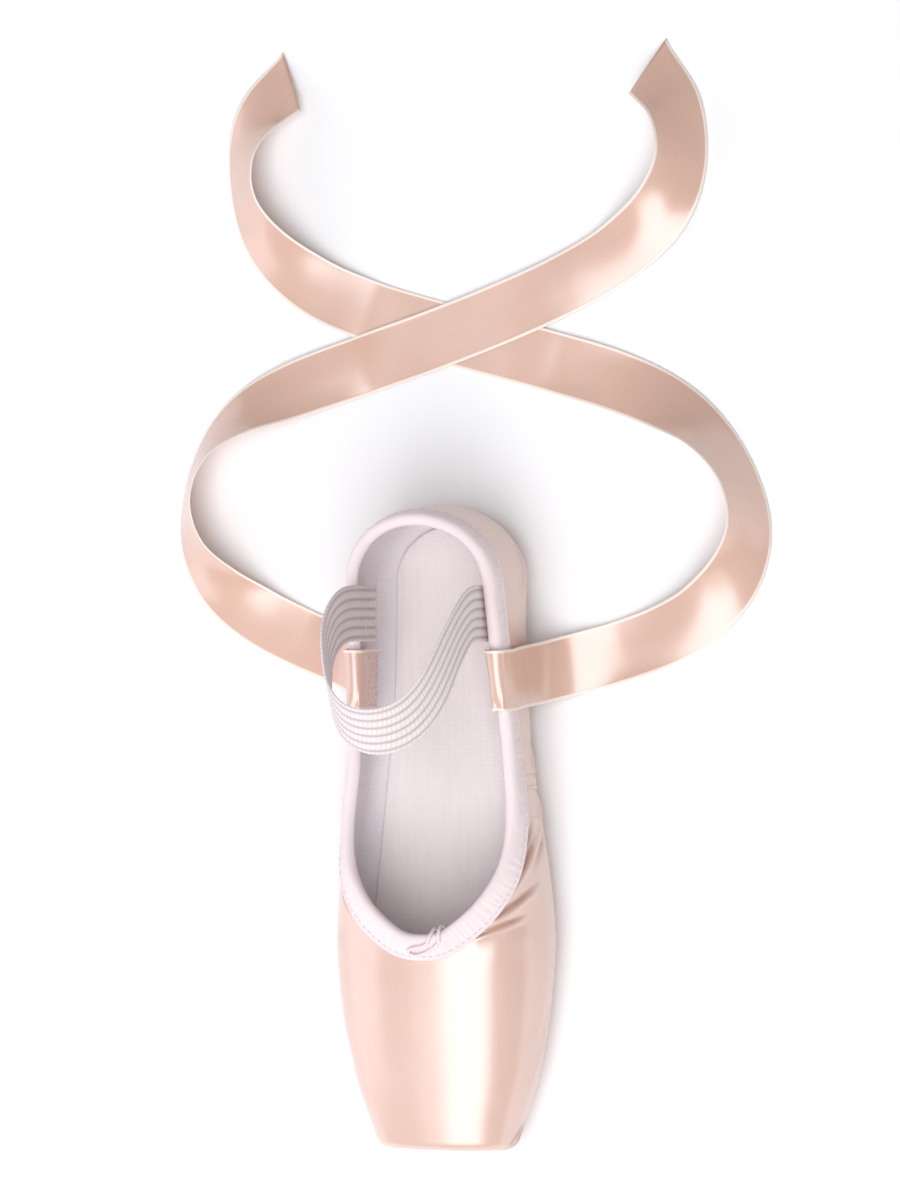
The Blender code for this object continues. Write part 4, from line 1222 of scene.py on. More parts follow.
def plate_rings(alongs, half_widths, lower, upper, edge, count, relief=None):
    """Rings round a plate from the middle of its top, over the right edge, to the middle of its bottom.

    The half width is drawn in by the edge's radius, and two quarter circles round the edge.
    """
    share = 1 - (1 - np.linspace(0, 1, count)) ** 1.7
    flat = np.maximum(half_widths - edge, 0)[:, None]
    radius = np.minimum(half_widths, edge)[:, None]
    x = flat * share
    arc = np.linspace(math.pi / 2, 0, EDGE_STEPS + 1)[None, 1:]
    rows = np.broadcast_to(alongs[:, None], x.shape)
    top, bottom = upper(x, rows), lower(x, rows)
    if relief is not None:
        bottom = bottom + relief(x, rows, half_widths[:, None] - x)
    top_arc = top[:, -1:] - radius + radius * np.sin(arc)
    bottom_arc = bottom[:, -1:] + radius - radius * np.sin(arc[:, ::-1])
    arc_x, back_x = flat + radius * np.cos(arc), flat + radius * np.cos(arc[:, ::-1])
    ring_x = np.concatenate([x, arc_x, back_x, x[:, ::-1]], axis=1)
    ring_z = np.concatenate([top, top_arc, bottom_arc, bottom[:, ::-1]], axis=1)
    ring_y = np.broadcast_to(alongs[:, None] - MIDDLE, ring_x.shape)
    return np.stack([ring_x, ring_y, ring_z], axis=-1)


def plate(name, rings):
    """Both halves of a plate as one closed mesh, with a UV in plan."""
    rows, columns = rings.shape[:2]
    quads = grid_quads(rows, columns)
    quads = np.concatenate([quads[:, ::-1], quads + rows * columns])
    points = np.concatenate([rings, rings * (-1, 1, 1)])
    return make_mesh(name, points, quads, points[..., :2], weld=SEAM_WELD, sharp=50)


def plate_stations(front, front_round, back, back_round, turn_count, count):
    """Stations crowded at both ends, where the outline turns."""
    return np.concatenate(
        [
            eased(front, front + front_round, turn_count),
            np.linspace(front + front_round, back - back_round, count),
            back - eased(0, back_round, turn_count)[::-1],
        ]
    )


print("a plate's edge is rounded with", 2 * EDGE_STEPS, "points")

# %% [markdown]
# The outsole's lower face gets the closed channel of its seam and faint waves, because leather is never
# quite flat. The channel is a shallow groove with a fine roll beside it.

# %% Make the outsole
SOLE_CHANNEL_INSET = 0.0026
SOLE_EDGE_RADIUS = 0.0007
LOWEST_SOLE_POINT = 0.00001


def sole_relief(x, along, inset):
    """A closed channel near the edge, shallow hollows of use, and a fine roll beside the channel."""
    channel = 0.00022 * np.exp(-(((inset - SOLE_CHANNEL_INSET) / 0.00045) ** 2))
    roll = -0.00008 * np.exp(-(((inset - SOLE_CHANNEL_INSET - 0.0012) / 0.0007) ** 2))
    slow = 0.00005 * np.sin(along / 0.011 + x / 0.009) + 0.00004 * np.sin(along / 0.0043 - x / 0.006)
    return channel + roll + 0.00009 + slow * smooth_step(inset / 0.004)


sole_alongs = plate_stations(SOLE_TIP, SOLE_TIP_ROUND, SOLE_BACK, SOLE_BACK - HEEL_CENTRE, 40, 120)
sole_rings = plate_rings(
    sole_alongs,
    sole_half_width(sole_alongs),
    lambda x, along: np.broadcast_to(lift(along), x.shape),
    lambda x, along: underside(x, along) - CLEARANCE,
    SOLE_EDGE_RADIUS,
    42,
    relief=sole_relief,
)
sole_rings[..., 2] = np.maximum(sole_rings[..., 2], LOWEST_SOLE_POINT)
outsole = plate("outsole_leather", sole_rings)
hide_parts("outsole")
print("the outsole has", len(outsole.data.polygons), "faces")

# %% [markdown]
# ## The insole
# Inside, the shank is covered by a canvas sock that cups up at its edges, following the inside of the upper.
# The foot has pressed a faint hollow into it at the heel and under the ball.

# %% Make the insole
INSOLE_THICKNESS = 0.0020
INSOLE_SHARE = 0.80
INSOLE_TOE = 0.012
INSOLE_TOE_ROUND = 0.022
INSOLE_CLEARANCE = 0.0005
INSOLE_EDGE_RADIUS = 0.0008
insole_depth = (HEEL_DEPTH - QUARTER_WALL) * INSOLE_SHARE


def insole_half_width(along):
    """A share of the inside's half width, rounded off with ellipses at both ends."""
    half = section(np.minimum(along, HEEL_CENTRE))[0] - wall(along)
    front = np.clip((along - INSOLE_TOE) / INSOLE_TOE_ROUND, 0, 1)
    back = np.clip((along - HEEL_CENTRE) / insole_depth, 0, 1)
    return half * INSOLE_SHARE * np.sqrt(1 - (1 - front) ** 2) * np.sqrt(1 - back**2)


def insole_rest(x, along):
    """Height of the inside's floor plus a clearance."""
    return underside(x, along, wall(along)) + INSOLE_CLEARANCE


def insole_top(x, along):
    """The floor plus the thickness, less two bell-shaped hollows, plus a fine wrinkle between them."""
    heel = np.exp(-(((along - 0.200) / 0.020) ** 2) - (x / 0.013) ** 2)
    ball = np.exp(-(((along - 0.070) / 0.028) ** 2) - (x / 0.022) ** 2)
    wrinkle = 0.00008 * np.sin(along / 0.0031 + 3 * np.sin(x / 0.011))
    wrinkle = wrinkle * np.exp(-(((along - 0.105) / 0.02) ** 2))
    return insole_rest(x, along) + INSOLE_THICKNESS - 0.00045 * heel - 0.0003 * ball + wrinkle


insole_alongs = plate_stations(
    INSOLE_TOE, INSOLE_TOE_ROUND, HEEL_CENTRE + insole_depth, insole_depth, 30, 110
)
insole_rings = plate_rings(
    insole_alongs, insole_half_width(insole_alongs), insole_rest, insole_top, INSOLE_EDGE_RADIUS, 40
)
insole = plate("insole_canvas", insole_rings)
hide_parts("insole")
print("the insole has", len(insole.data.polygons), "faces")

# %% [markdown]
# ## Stitches
# The pieces are held by lock stitches: two rows beside the folded edge of the side seam, one along the wing,
# one round the casing, and small squares where the ribbons and the elastic are sewn in. A stitch is a short
# thread whose ends dip into the cloth. One stitch is modelled with few faces, and the rows repeat it.

# %% A row of stitches
STITCH_SHARES = np.linspace(-0.5, 0.5, 5)
STITCH_TURNS = np.linspace(0, 2 * math.pi, 7)[:-1]
SQUARE_PITCH, SQUARE_STITCH = 0.0021, 0.0015
stitch_rings = []


def stitch_row(path, normal, pitch=0.0024, length=0.0017, radius=0.00021):
    """Lays stitches along a path and keeps their rings.

    A stitch's thickness is radius * sqrt(1 - 3.6 t^2) for t from -0.5 to 0.5, and its middle line stands out
    from the cloth by radius * (0.45 - 4 t^2).
    """
    run = distance_along(path)
    count = max(int(run[-1] / pitch), 1)
    middles = (np.arange(count) + 0.5) * run[-1] / count
    at = middles[:, None] + STITCH_SHARES[None, :] * length
    place = np.stack([np.interp(at, run, column) for column in path.T], axis=-1)
    facing = unit(np.stack([np.interp(at, run, column) for column in normal.T], axis=-1))
    along = unit(np.gradient(place, axis=1))
    side = unit(np.cross(along, facing))
    reach = (radius * np.sqrt(1 - 3.6 * STITCH_SHARES**2))[None, :, None, None]
    rise = (radius * (0.45 - 4 * STITCH_SHARES**2))[None, :, None]
    cosine, sine = np.cos(STITCH_TURNS)[:, None], np.sin(STITCH_TURNS)[:, None]
    turn_out = facing[:, :, None] * cosine - side[:, :, None] * sine
    stitch_rings.append((place + facing * rise)[:, :, None] + turn_out * reach)


def satin_path(station, side, height, low_share=0.03, high_share=0.97):
    """A line on the satin at one station, from the hem up to the casing, and its normals."""
    low, high = hem_angle(np.array([station]))[0], topline_angle(np.array([station]))[0]
    angles = np.linspace(mix(low, high, low_share), mix(low, high, high_share), 160)
    at = np.full(160, station)
    normal = outward(at, angles, 0.0) * (side, 1, 1)
    face = last_face(at, angles, 0.0) * (side, 1, 1)
    out = height(at, side * np.degrees(math.pi / 2 - angles), face, normal)
    return face + normal * out[:, None], normal


for side in (1, -1):
    for row in SEAM_ROWS:
        stitch_row(*satin_path(row, side, quarter_height, high_share=0.93))
    stitch_row(*satin_path(WING_STATION, side, satin_height, high_share=0.90))
print("rows of stitches so far:", len(stitch_rings))

# %% [markdown]
# The casing's row follows the opening at a fixed depth below the edge. The ribbons and the elastic are
# sewn down with a square of stitches, because a square holds whichever way they are pulled.

# %% Stitches on the casing, the ribbons and the elastic
casing_row, casing_facing = casing_points(
    edge_stations, np.array([(casing_outer - 0.00012, CASING_OUTSIDE * 0.80)]), 0.0
)
for side in (1, -1):
    row, facing = casing_row[:, 0] * (side, 1, 1), casing_facing[:, 0] * (side, 1, 1)
    stitch_row(row, facing, pitch=0.0026, length=0.0019)


def sewn_square(line, tangent, width, half_width, start, end, stand):
    """A square of stitches on a strip: both sides and both ends, drawn in from its edges."""
    normal = np.cross(tangent, width)
    face = line + normal * stand
    for across in (-0.84, 0.84):
        edge = face[start:end] + width[start:end] * across * half_width
        stitch_row(edge, normal[start:end], SQUARE_PITCH, SQUARE_STITCH)
    share = np.linspace(-0.8, 0.8, 12)[:, None]
    for row in (start, end - 1):
        edge = face[row] + width[row] * share * half_width
        stitch_row(edge, np.repeat(normal[row][None], len(share), axis=0), SQUARE_PITCH, SQUARE_STITCH)


for route in RIBBON_ROUTES.values():
    sewn_square(*ribbon_line(route), RIBBON_WIDTH / 2, 3, 26, 0.00020)
elastic_route = elastic_line()
route_end = len(elastic_route[0])
for start, end in ((2, 17), (route_end - 17, route_end - 2)):
    sewn_square(*elastic_route, ELASTIC_WIDTH / 2, start, end, 0.00050)
rings = np.concatenate(stitch_rings)
shares, turns = len(STITCH_SHARES), len(STITCH_TURNS)
stitch_quads = grid_quads(shares, turns, around=True)
cap = np.array([(0, 1, 4, 5), (1, 2, 3, 4)])
stitch_quads = np.concatenate([stitch_quads, cap, cap[:, ::-1] + turns * (shares - 1)])
offsets = shares * turns * np.arange(len(rings))[:, None, None]
thread_uv = np.stack(np.broadcast_arrays(STITCH_TURNS * 0.0002, STITCH_SHARES[:, None] * 0.0017), axis=-1)
stitches = make_mesh(
    "stitches_thread",
    rings.reshape(-1, 3),
    (stitch_quads[None] + offsets).reshape(-1, 4),
    np.broadcast_to(thread_uv, (len(rings), shares, turns, 2)),
)
print(len(rings), "stitches with", len(stitches.data.polygons), "faces")

# %% [markdown]
# ## Finishes
# A finish is a recipe of nodes. A few short helpers add a node and link it, so that each recipe reads like a
# list. Effects that several finishes share, such as a weave or soft soiling, are node groups, made once.

# %% Helpers for node recipes
def add(tree, kind, inputs=None, **settings):
    """Adds a node, sets its settings, and sets or links each of its inputs."""
    made = tree.nodes.new("ShaderNode" + kind)
    for name, value in settings.items():
        setattr(made, name, value)
    for name, value in (inputs or {}).items():
        if isinstance(value, bpy.types.NodeSocket):
            tree.links.new(value, made.inputs[name])
        else:
            made.inputs[name].default_value = value
    return made


def calc(tree, operation, *values, clamp=False):
    """The result of a Math node."""
    return add(tree, "Math", dict(enumerate(values)), operation=operation, use_clamp=clamp).outputs[0]


def ramp(tree, value, low, high, start=0.0, end=1.0):
    """Maps low..high smoothly to start..end."""
    inputs = {"Value": value, "From Min": low, "From Max": high, "To Min": start, "To Max": end}
    return add(tree, "MapRange", inputs, interpolation_type="SMOOTHSTEP").outputs[0]


def blend(tree, share, low, high, kind="MIX"):
    """A mix of two colours."""
    made = add(tree, "Mix", {}, data_type="RGBA", blend_type=kind)
    for socket, value in zip((made.inputs[0], made.inputs[6], made.inputs[7]), (share, low, high)):
        if isinstance(value, bpy.types.NodeSocket):
            tree.links.new(value, socket)
        else:
            socket.default_value = value
    return made.outputs[2]


def colour(red, green, blue):
    """A linear colour from one read as 0 to 255: ((c / 255 + 0.055) / 1.055)^2.4."""
    return *(((c / 255 + 0.055) / 1.055) ** 2.4 for c in (red, green, blue)), 1.0


def group(name, inputs, outputs):
    """A new node group with float or vector inputs and float outputs; returns it with its two end nodes."""
    tree = bpy.data.node_groups.new(name, "ShaderNodeTree")
    for label, value in inputs.items():
        kind = "NodeSocketVector" if value is None else "NodeSocketFloat"
        socket = tree.interface.new_socket(name=label, in_out="INPUT", socket_type=kind)
        if value is not None:
            socket.default_value = value
    for label in outputs:
        tree.interface.new_socket(name=label, in_out="OUTPUT", socket_type="NodeSocketFloat")
    return tree, tree.nodes.new("NodeGroupInput").outputs, tree.nodes.new("NodeGroupOutput").inputs


def use(tree, made, inputs):
    """Adds a group to a recipe, fills its inputs and returns its outputs."""
    node = tree.nodes.new("ShaderNodeGroup")
    node.node_tree = made
    for name, value in inputs.items():
        if isinstance(value, bpy.types.NodeSocket):
            tree.links.new(value, node.inputs[name])
        else:
            node.inputs[name].default_value = value
    return node.outputs


print("peach is", [round(c, 2) for c in colour(240, 212, 200)])

# %% [markdown]
# A weave is threads that pass over and under each other. Each thread is a hump across its own width, and it
# rises and falls along its length, out of step with its neighbour. The higher of the two threads shows.

# %% Groups for weave, grain and soiling
def make_weave():
    """Height = the greater of warp, |sin u| (1 + cos(v + row)) / 2, and weft, the same turned 90 degrees."""
    tree, inside, outside = group("plain_weave", {"Place": None, "Pitch": 0.001}, ("Height", "Gap"))
    scaled = add(tree, "VectorMath", {0: inside["Place"]}, operation="SCALE")
    tree.links.new(calc(tree, "DIVIDE", 1.0, inside["Pitch"]), scaled.inputs["Scale"])
    parts = add(tree, "SeparateXYZ", {0: scaled.outputs[0]}).outputs
    threads = []
    for across, along, shift in ((parts[0], parts[1], 0.0), (parts[1], parts[0], 1.0)):
        hump = calc(tree, "ABSOLUTE", calc(tree, "SINE", calc(tree, "MULTIPLY", across, math.pi)))
        row = calc(tree, "ADD", calc(tree, "FLOOR", across), shift - 0.5)
        wave = calc(tree, "COSINE", calc(tree, "MULTIPLY", calc(tree, "ADD", along, row), math.pi))
        threads.append(calc(tree, "MULTIPLY", hump, calc(tree, "MULTIPLY_ADD", wave, 0.5, 0.5)))
    height = calc(tree, "MAXIMUM", *threads)
    tree.links.new(height, outside["Height"])
    tree.links.new(ramp(tree, height, 0.45, 0.0), outside["Gap"])
    return tree


def make_grain():
    """Fine lines along Y: noise squeezed across and stretched along, from 0 to 1."""
    tree, inside, outside = group("thread_grain", {"Place": None, "Fineness": 5000.0}, ("Value",))
    stretched = add(tree, "VectorMath", {0: inside["Place"], 1: (1.0, 0.045, 1.0)}, operation="MULTIPLY")
    inputs = {"Vector": stretched.outputs[0], "Scale": inside["Fineness"], "Detail": 2.0}
    noise = add(tree, "TexNoise", inputs)
    tree.links.new(noise.outputs[0], outside["Value"])
    return tree


def make_soiling():
    """Soft patches: a fractal noise cut at a threshold, from 0, clean, to 1."""
    sizes = {"Place": None, "Scale": 60.0, "Cover": 0.4, "Softness": 0.2}
    tree, inside, outside = group("soft_soiling", sizes, ("Mask",))
    noise = add(tree, "TexNoise", {"Vector": inside["Place"], "Scale": inside["Scale"], "Detail": 6.0})
    noise.inputs["Roughness"].default_value = 0.62
    limit = calc(tree, "SUBTRACT", 1.0, inside["Cover"])
    above = calc(tree, "SUBTRACT", noise.outputs[0], limit)
    tree.links.new(calc(tree, "DIVIDE", above, inside["Softness"], clamp=True), outside["Mask"])
    return tree


def make_scratches():
    """Thin scuffs: places where a stretched, bent noise passes close to one half."""
    sizes = {"Place": None, "Scale": 90.0, "Width": 0.012}
    tree, inside, outside = group("thin_scuffs", sizes, ("Mask",))
    bent = add(tree, "TexNoise", {"Vector": inside["Place"], "Scale": 12.0, "Detail": 0.0})
    shifted = add(
        tree, "VectorMath", {0: inside["Place"], 1: bent.outputs["Color"]}, operation="MULTIPLY_ADD"
    )
    shifted.inputs[1].default_value = (1.0, 0.16, 1.0)
    tree.links.new(inside["Place"], shifted.inputs[0])
    noise = add(tree, "TexNoise", {"Vector": shifted.outputs[0], "Scale": inside["Scale"], "Detail": 0.0})
    near = calc(tree, "ABSOLUTE", calc(tree, "SUBTRACT", noise.outputs[0], 0.5))
    line = calc(tree, "SUBTRACT", 1.0, calc(tree, "DIVIDE", near, inside["Width"]), clamp=True)
    patch = add(tree, "TexNoise", {"Vector": inside["Place"], "Scale": 70.0, "Detail": 1.0})
    tree.links.new(calc(tree, "MULTIPLY", line, ramp(tree, patch.outputs[0], 0.60, 0.70)), outside["Mask"])
    return tree


WEAVE, GRAIN, SOILING, SCUFFS = make_weave(), make_grain(), make_soiling(), make_scratches()
print("groups:", [tree.name for tree in bpy.data.node_groups])

# %% [markdown]
# Every finish starts from the same shader. Its constants are set first, and then its colour and its bump
# are linked in. A bump only bends the light, so it is kept for threads that are finer than the mesh.

# %% Helper that starts a finish
def plain_material(name):
    """A new material and its Principled shader."""
    made = bpy.data.materials.new(name)
    made.use_nodes = True
    return made, made.node_tree.nodes["Principled BSDF"]


def finish(name, **settings):
    """A material with constants set on its shader; returns it, its tree, its shader and its coordinates."""
    made, shader = plain_material(name)
    for label, value in settings.items():
        shader.inputs[label.replace("_", " ")].default_value = value
    places = add(made.node_tree, "TexCoord").outputs
    return made, made.node_tree, shader, places


def bump(tree, shader, height, depth, strength=1.0):
    """Bump of a height from 0 to 1 over a depth in metres."""
    made = add(tree, "Bump", {"Height": height, "Distance": depth, "Strength": strength})
    tree.links.new(made.outputs[0], shader.inputs["Normal"])


def wear(piece, made):
    """Puts one material on a piece."""
    piece.data.materials.clear()
    piece.data.materials.append(made)


print("each finish starts from one shader")

# %% [markdown]
# ## Satin
# Satin is a weave in which each thread floats over four or more before it dips, so the face is nearly all
# parallel threads. They catch a light in one long streak, which is why the highlight is stretched across the
# threads. A faint coat stands for the gloss of the threads' rounded tops, and a soft sheen for the loose
# fibres. Little light reaches the bottom of a deep crease, so the shade kept with the points darkens it.

# %% Make the satin
def satin_finish(name, base, shade, threads_from_uv):
    """Peach satin: slow change of hue, grain along the threads and a stretched highlight."""
    made, tree, shader, places = finish(
        name,
        Roughness=0.28,
        IOR=1.7,
        Anisotropic=0.25,
        Sheen_Weight=0.05,
        Sheen_Roughness=0.45,
        Sheen_Tint=(1.0, 0.86, 0.82, 1.0),
        Coat_Weight=0.35,
        Coat_Roughness=0.24,
        Specular_IOR_Level=1.0,
    )
    place = places["UV"] if threads_from_uv else places["Object"]
    grain = use(tree, GRAIN, {"Place": place, "Fineness": 5200.0})["Value"]
    coarse = use(tree, GRAIN, {"Place": place, "Fineness": 900.0})["Value"]
    slow = add(tree, "TexNoise", {"Vector": places["Object"], "Scale": 32.0, "Detail": 2.0}).outputs[0]
    face = blend(tree, ramp(tree, slow, 0.35, 0.65, 0.0, 0.55), base, shade)
    lines = ramp(tree, calc(tree, "MULTIPLY_ADD", coarse, 0.5, calc(tree, "MULTIPLY", grain, 0.5)), 0.3, 0.7)
    darker = blend(tree, 1.0, face, (0.97, 0.96, 0.955, 1.0), "MULTIPLY")
    return made, tree, shader, places, blend(tree, lines, darker, face), grain


satin, tree, shader, places, face, grain = satin_finish(
    "peach_satin", (0.80, 0.55, 0.46, 1), (0.77, 0.515, 0.42, 1), False
)
dark = add(tree, "Attribute", attribute_name="shade").outputs["Fac"]
face = blend(tree, calc(tree, "MULTIPLY", dark, 0.7), face, colour(150, 96, 80))
tree.links.new(face, shader.inputs["Base Color"])
bump(tree, shader, grain, 0.00001, 0.5)
wear(vamp, satin)
wear(quarters, satin)
print("satin has", len(tree.nodes), "nodes")

# %% [markdown]
# The ribbons are a lighter satin, woven with a firm selvedge on both sides. The selvedge is plain weave, so
# it is paler and duller than the face, and shows as a thin light line along each edge.

# %% Make the ribbon satin
ribbon_finish, tree, shader, places, face, grain = satin_finish(
    "ribbon_satin", (0.75, 0.49, 0.385, 1), (0.72, 0.45, 0.345, 1), True
)
across = calc(tree, "ABSOLUTE", add(tree, "SeparateXYZ", {0: places["UV"]}).outputs[0])
edge = ramp(tree, across, 0.0098, 0.0101)
tree.links.new(blend(tree, edge, face, (0.93, 0.78, 0.68, 1)), shader.inputs["Base Color"])
tree.links.new(ramp(tree, edge, 0.0, 1.0, 0.27, 0.55), shader.inputs["Roughness"])
plain = use(tree, WEAVE, {"Place": places["UV"], "Pitch": 0.00022})["Height"]
heights = calc(tree, "MULTIPLY_ADD", plain, edge, calc(tree, "MULTIPLY", grain, 0.35))
bump(tree, shader, heights, 0.00002, 0.5)
for ribbon in ribbons.values():
    wear(ribbon, ribbon_finish)
print("ribbon satin has", len(tree.nodes), "nodes")

# %% [markdown]
# ## Cotton: tape, lining, insole and cord
# The inside is cotton, which is matt. The casing is a fine tape, pale lilac-pink. The lining and the sock are
# a plain weave that is coarse enough to see, and the places where a foot rubs are a little greyer.

# %% Make the cotton finishes
def cotton(name, base, gap, pitch, depth, soil, rough=0.85):
    """Matt plain weave: a gap colour between threads, bump from the weave, and faint soiling."""
    made, tree, shader, places = finish(
        name, Roughness=rough, Sheen_Weight=0.15, Sheen_Roughness=0.6, Specular_IOR_Level=0.25
    )
    weave = use(tree, WEAVE, {"Place": places["UV"], "Pitch": pitch})
    slub = use(tree, GRAIN, {"Place": places["UV"], "Fineness": 0.6 / pitch})["Value"]
    face = blend(tree, calc(tree, "MULTIPLY", weave["Gap"], 0.85), base, gap)
    face = blend(tree, ramp(tree, slub, 0.3, 0.7, 0.0, 0.12), face, gap)
    spots = {"Place": places["Object"], "Scale": 40.0, "Cover": 0.5, "Softness": 0.5}
    dirt = use(tree, SOILING, spots)["Mask"]
    face = blend(tree, calc(tree, "MULTIPLY", dirt, soil), face, (0.42, 0.36, 0.34, 1))
    tree.links.new(face, shader.inputs["Base Color"])
    fuzz = add(tree, "TexNoise", {"Vector": places["Object"], "Scale": 3000.0, "Detail": 2.0}).outputs[0]
    bump(tree, shader, calc(tree, "MULTIPLY_ADD", fuzz, 0.3, weave["Height"]), depth, 0.8)
    return made


wear(casing, cotton("casing_cotton", colour(248, 233, 233), colour(226, 205, 211), 0.00036, 0.00006, 0.06))
wear(lining, cotton("lining_cotton", colour(242, 235, 237), colour(214, 202, 207), 0.00095, 0.00014, 0.10))
wear(insole, cotton("sock_cotton", colour(240, 231, 230), colour(208, 195, 197), 0.00095, 0.00014, 0.16))
wear(drawstring, cotton("cord_cotton", colour(247, 236, 236), colour(222, 200, 205), 0.00040, 0.00008, 0.05))
print("four cotton finishes")

# %% [markdown]
# ## Thread and webbing
# Sewing thread is plied, which shows as slanting stripes along each stitch. The elastic's ribs are rubber
# cords covered with fine thread, with thinner gauze between them. The hollows between the ribs are darker,
# partly from the thinner gauze and partly from painted shade. Both patterns are sine waves over the piece's
# own UV, so they follow the piece and keep their real size.

# %% Make the thread and the elastic
thread, tree, shader, places = finish(
    "sewing_thread", Roughness=0.5, Sheen_Weight=0.2, Specular_IOR_Level=0.4
)
parts = add(tree, "SeparateXYZ", {0: places["UV"]}).outputs
wound = calc(tree, "ADD", calc(tree, "MULTIPLY", parts[1], 9000.0), calc(tree, "MULTIPLY", parts[0], 16000.0))
ply = calc(tree, "MULTIPLY_ADD", calc(tree, "SINE", wound), 0.5, 0.5)
thread_face = blend(tree, ply, colour(228, 206, 202), colour(245, 230, 227))
tree.links.new(thread_face, shader.inputs["Base Color"])
bump(tree, shader, ply, 0.00004, 0.8)
wear(stitches, thread)

webbing, tree, shader, places = finish(
    "elastic_webbing", Roughness=0.72, Sheen_Weight=0.2, Specular_IOR_Level=0.3
)
parts = add(tree, "SeparateXYZ", {0: places["UV"]}).outputs
rib_place = calc(tree, "MULTIPLY", parts[0], math.pi * (ELASTIC_RIBS - 1) / ELASTIC_WIDTH)
hollow_gauze_and_shade = calc(tree, "POWER", calc(tree, "ABSOLUTE", calc(tree, "SINE", rib_place)), 6.0)
picks = calc(tree, "MULTIPLY_ADD", calc(tree, "SINE", calc(tree, "MULTIPLY", parts[1], 7400.0)), 0.5, 0.5)
stagger = calc(tree, "ADD", calc(tree, "MULTIPLY", parts[1], 3700.0), rib_place)
floats = calc(tree, "MULTIPLY_ADD", calc(tree, "SINE", stagger), 0.5, 0.5)
# The hollows between the ribs get a darker colour: partly the thinner gauze, partly painted shade.
face = blend(tree, calc(tree, "MULTIPLY", hollow_gauze_and_shade, 0.75), colour(243, 234, 233), colour(176, 158, 162))
crossing = calc(tree, "POWER", floats, 4.0)
face = blend(tree, calc(tree, "MULTIPLY", crossing, 0.45), face, colour(219, 186, 182))
face = blend(tree, calc(tree, "MULTIPLY", picks, 0.18), face, colour(198, 182, 184))
tree.links.new(face, shader.inputs["Base Color"])
bump(tree, shader, calc(tree, "MULTIPLY_ADD", picks, 0.6, calc(tree, "MULTIPLY", floats, 0.4)), 0.00014, 0.8)
wear(elastic, webbing)
print("the elastic has", ELASTIC_RIBS, "ribs")

# %% [markdown]
# ## The sole's leather
# The sole is leather with a brushed nap outside. The nap is dull and soft, and is darker where it lies the
# other way. Walking has polished and greyed it under the ball and the heel. The colour comes from fine
# fibres, slow patches, the two worn places, and thin scuffs along the shoe.

# %% Make the sole's leather
suede, tree, shader, places = finish("brushed_leather", Sheen_Weight=0.25, Sheen_Roughness=0.5)
shader.inputs["Specular IOR Level"].default_value = 0.25
place = places["Object"]
parts = add(tree, "SeparateXYZ", {0: place}).outputs
fibre = add(tree, "TexNoise", {"Vector": place, "Scale": 2600.0, "Detail": 3.0}).outputs[0]
nap = add(tree, "TexNoise", {"Vector": place, "Scale": 120.0, "Detail": 4.0, "Distortion": 0.8}).outputs[0]
pale = blend(tree, ramp(tree, nap, 0.3, 0.7), colour(208, 173, 150), colour(219, 187, 165))
face = blend(tree, ramp(tree, fibre, 0.3, 0.7, 0.0, 0.5), pale, colour(180, 140, 116))


def worn_place(across, along, wide, long):
    """1 in the middle of an oval and 0 outside it: 1 - (x / wide)^2 - (y / long)^2, kept from 0 to 1."""
    u = calc(tree, "DIVIDE", calc(tree, "SUBTRACT", parts[0], across), wide)
    v = calc(tree, "DIVIDE", calc(tree, "SUBTRACT", parts[1], along), long)
    squares = calc(tree, "ADD", calc(tree, "MULTIPLY", u, u), calc(tree, "MULTIPLY", v, v))
    return calc(tree, "SUBTRACT", 1.0, squares, clamp=True)


ball_wear, heel_wear = worn_place(0.0, -0.052, 0.026, 0.042), worn_place(0.0, 0.088, 0.018, 0.026)
facing_down = ramp(tree, parts[2], 0.0016, 0.0004)
soiling = use(tree, SOILING, {"Place": place, "Scale": 75.0, "Cover": 0.52, "Softness": 0.25})["Mask"]
rubbed = calc(tree, "MULTIPLY", calc(tree, "MAXIMUM", ball_wear, heel_wear), facing_down)
rubbed = calc(tree, "MULTIPLY", rubbed, ramp(tree, soiling, 0.0, 1.0, 0.35, 1.0))
scuffs = calc(tree, "MULTIPLY", use(tree, SCUFFS, {"Place": place})["Mask"], facing_down)
face = blend(tree, calc(tree, "MULTIPLY", rubbed, 0.55), face, colour(137, 112, 98))
face = blend(tree, calc(tree, "MULTIPLY", scuffs, 0.35), face, colour(112, 92, 82))
tree.links.new(face, shader.inputs["Base Color"])
tree.links.new(ramp(tree, rubbed, 0.0, 1.0, 0.92, 0.58), shader.inputs["Roughness"])
deep = calc(tree, "MULTIPLY_ADD", nap, 0.6, calc(tree, "MULTIPLY", fibre, 0.4))
bump(tree, shader, calc(tree, "SUBTRACT", deep, calc(tree, "MULTIPLY", scuffs, 0.4)), 0.00018, 0.7)
wear(outsole, suede)
print("the sole is worn under the ball and the heel")

# %% [markdown]
# ## The floor and the light
# The shoe stands on a white studio floor. A broad sheet of light hangs over it, a little to the right and in
# front, and draws the soft bright band down the satin. A cool sheet on the left draws the pale edge, a faint
# one lights the toe, and the world fills the rest.

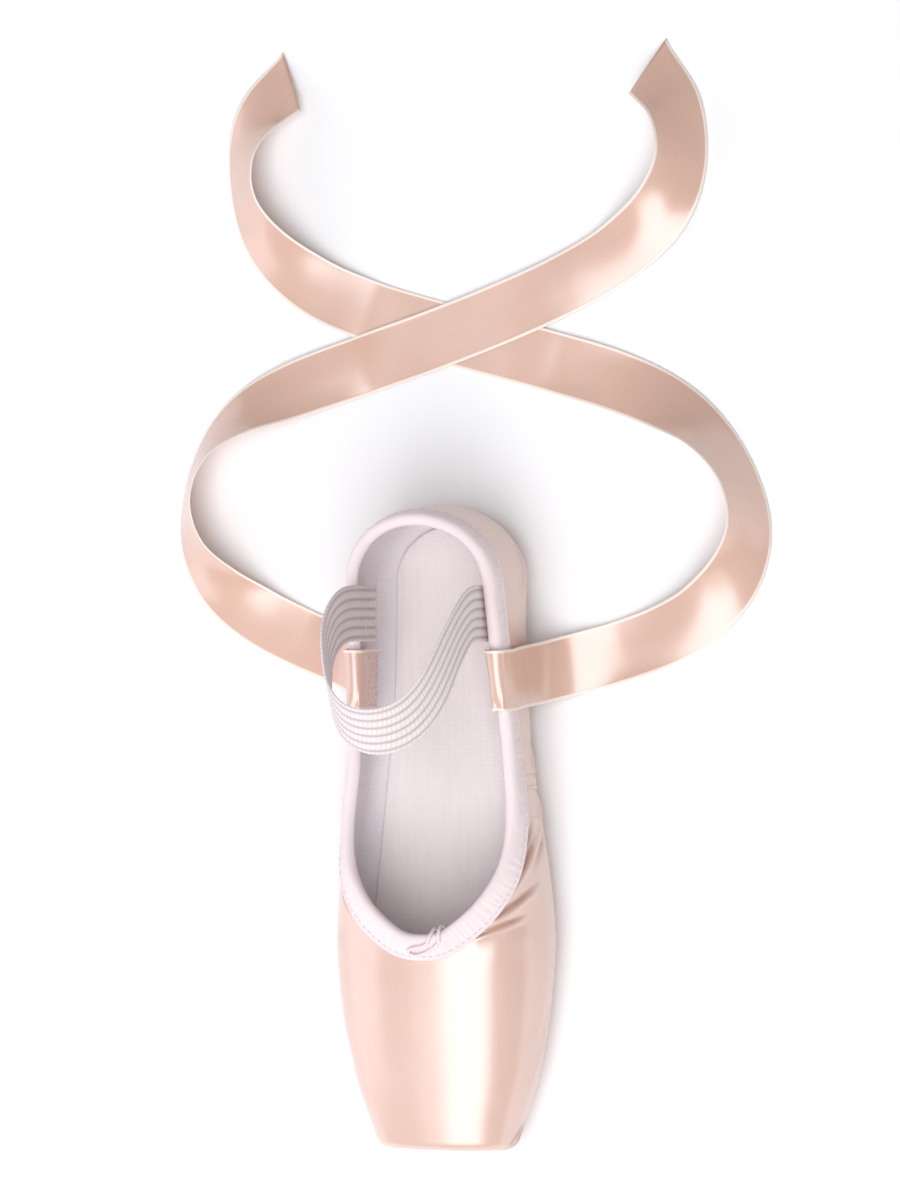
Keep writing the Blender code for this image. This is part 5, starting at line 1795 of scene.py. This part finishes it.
# %% Make the floor
FLOOR_WIDTH = 12.0
floor_data = bpy.data.meshes.new("studio_floor")
floor_corners = np.array([(-1, -1, 0), (1, -1, 0), (1, 1, 0), (-1, 1, 0)]) * FLOOR_WIDTH / 2
floor_data.from_pydata(floor_corners, [], [(0, 1, 2, 3)])
floor = bpy.data.objects.new("studio_floor", floor_data)
bpy.context.scene.collection.objects.link(floor)
floor_material, floor_shader = plain_material("studio_floor")
floor_shader.inputs["Base Color"].default_value = (0.95, 0.95, 0.95, 1)
floor_shader.inputs["Roughness"].default_value = 0.9
floor_data.materials.append(floor_material)
print("the floor is", FLOOR_WIDTH, "m wide")

# %% [markdown]
# A highlight on satin is the blurred picture of a lamp, so broad lamps give broad, soft bands. Each lamp
# is a rectangle that is turned to face the shoe.

# %% Set the lights
def area_light(name, place, aim, size, power, colour):
    """A rectangular light whose local -Z points from its place to its aim, and its local Y along +Y."""
    data = bpy.data.lights.new(name, "AREA")
    data.shape = "RECTANGLE"
    data.size, data.size_y = size
    data.energy = power
    data.color = colour
    made = bpy.data.objects.new(name, data)
    back = unit(np.array(place, float) - np.array(aim, float))
    side = unit(np.cross((0.0, 1.0, 0.0), back))
    place_matrix = np.eye(4)
    place_matrix[:3, :3] = np.stack([side, np.cross(back, side), back], axis=1)
    place_matrix[:3, 3] = place
    made.matrix_world = place_matrix.T.tolist()
    bpy.context.scene.collection.objects.link(made)


area_light("overhead", (0.32, -0.74, 2.20), (0, -0.02, 0.03), (1.80, 3.0), 63.0, (0.955, 0.965, 1.0))
area_light("left_sheet", (-1.30, 0.0, 0.45), (0, 0.0, 0.03), (1.2, 1.6), 8.0, (0.95, 0.92, 1.0))
area_light("toe_fill", (0.1, -1.3, 0.8), (0, 0.0, 0.03), (1.0, 0.6), 1.5, (1.0, 0.98, 0.97))
world = bpy.data.worlds.new("studio")
world.use_nodes = True
background = world.node_tree.nodes["Background"]
background.inputs["Color"].default_value = (1.0, 1.0, 1.02, 1)
background.inputs["Strength"].default_value = 0.25
bpy.context.scene.world = world
bpy.context.scene.view_settings.view_transform = "Standard"
print("lights:", [light.name for light in bpy.data.lights])
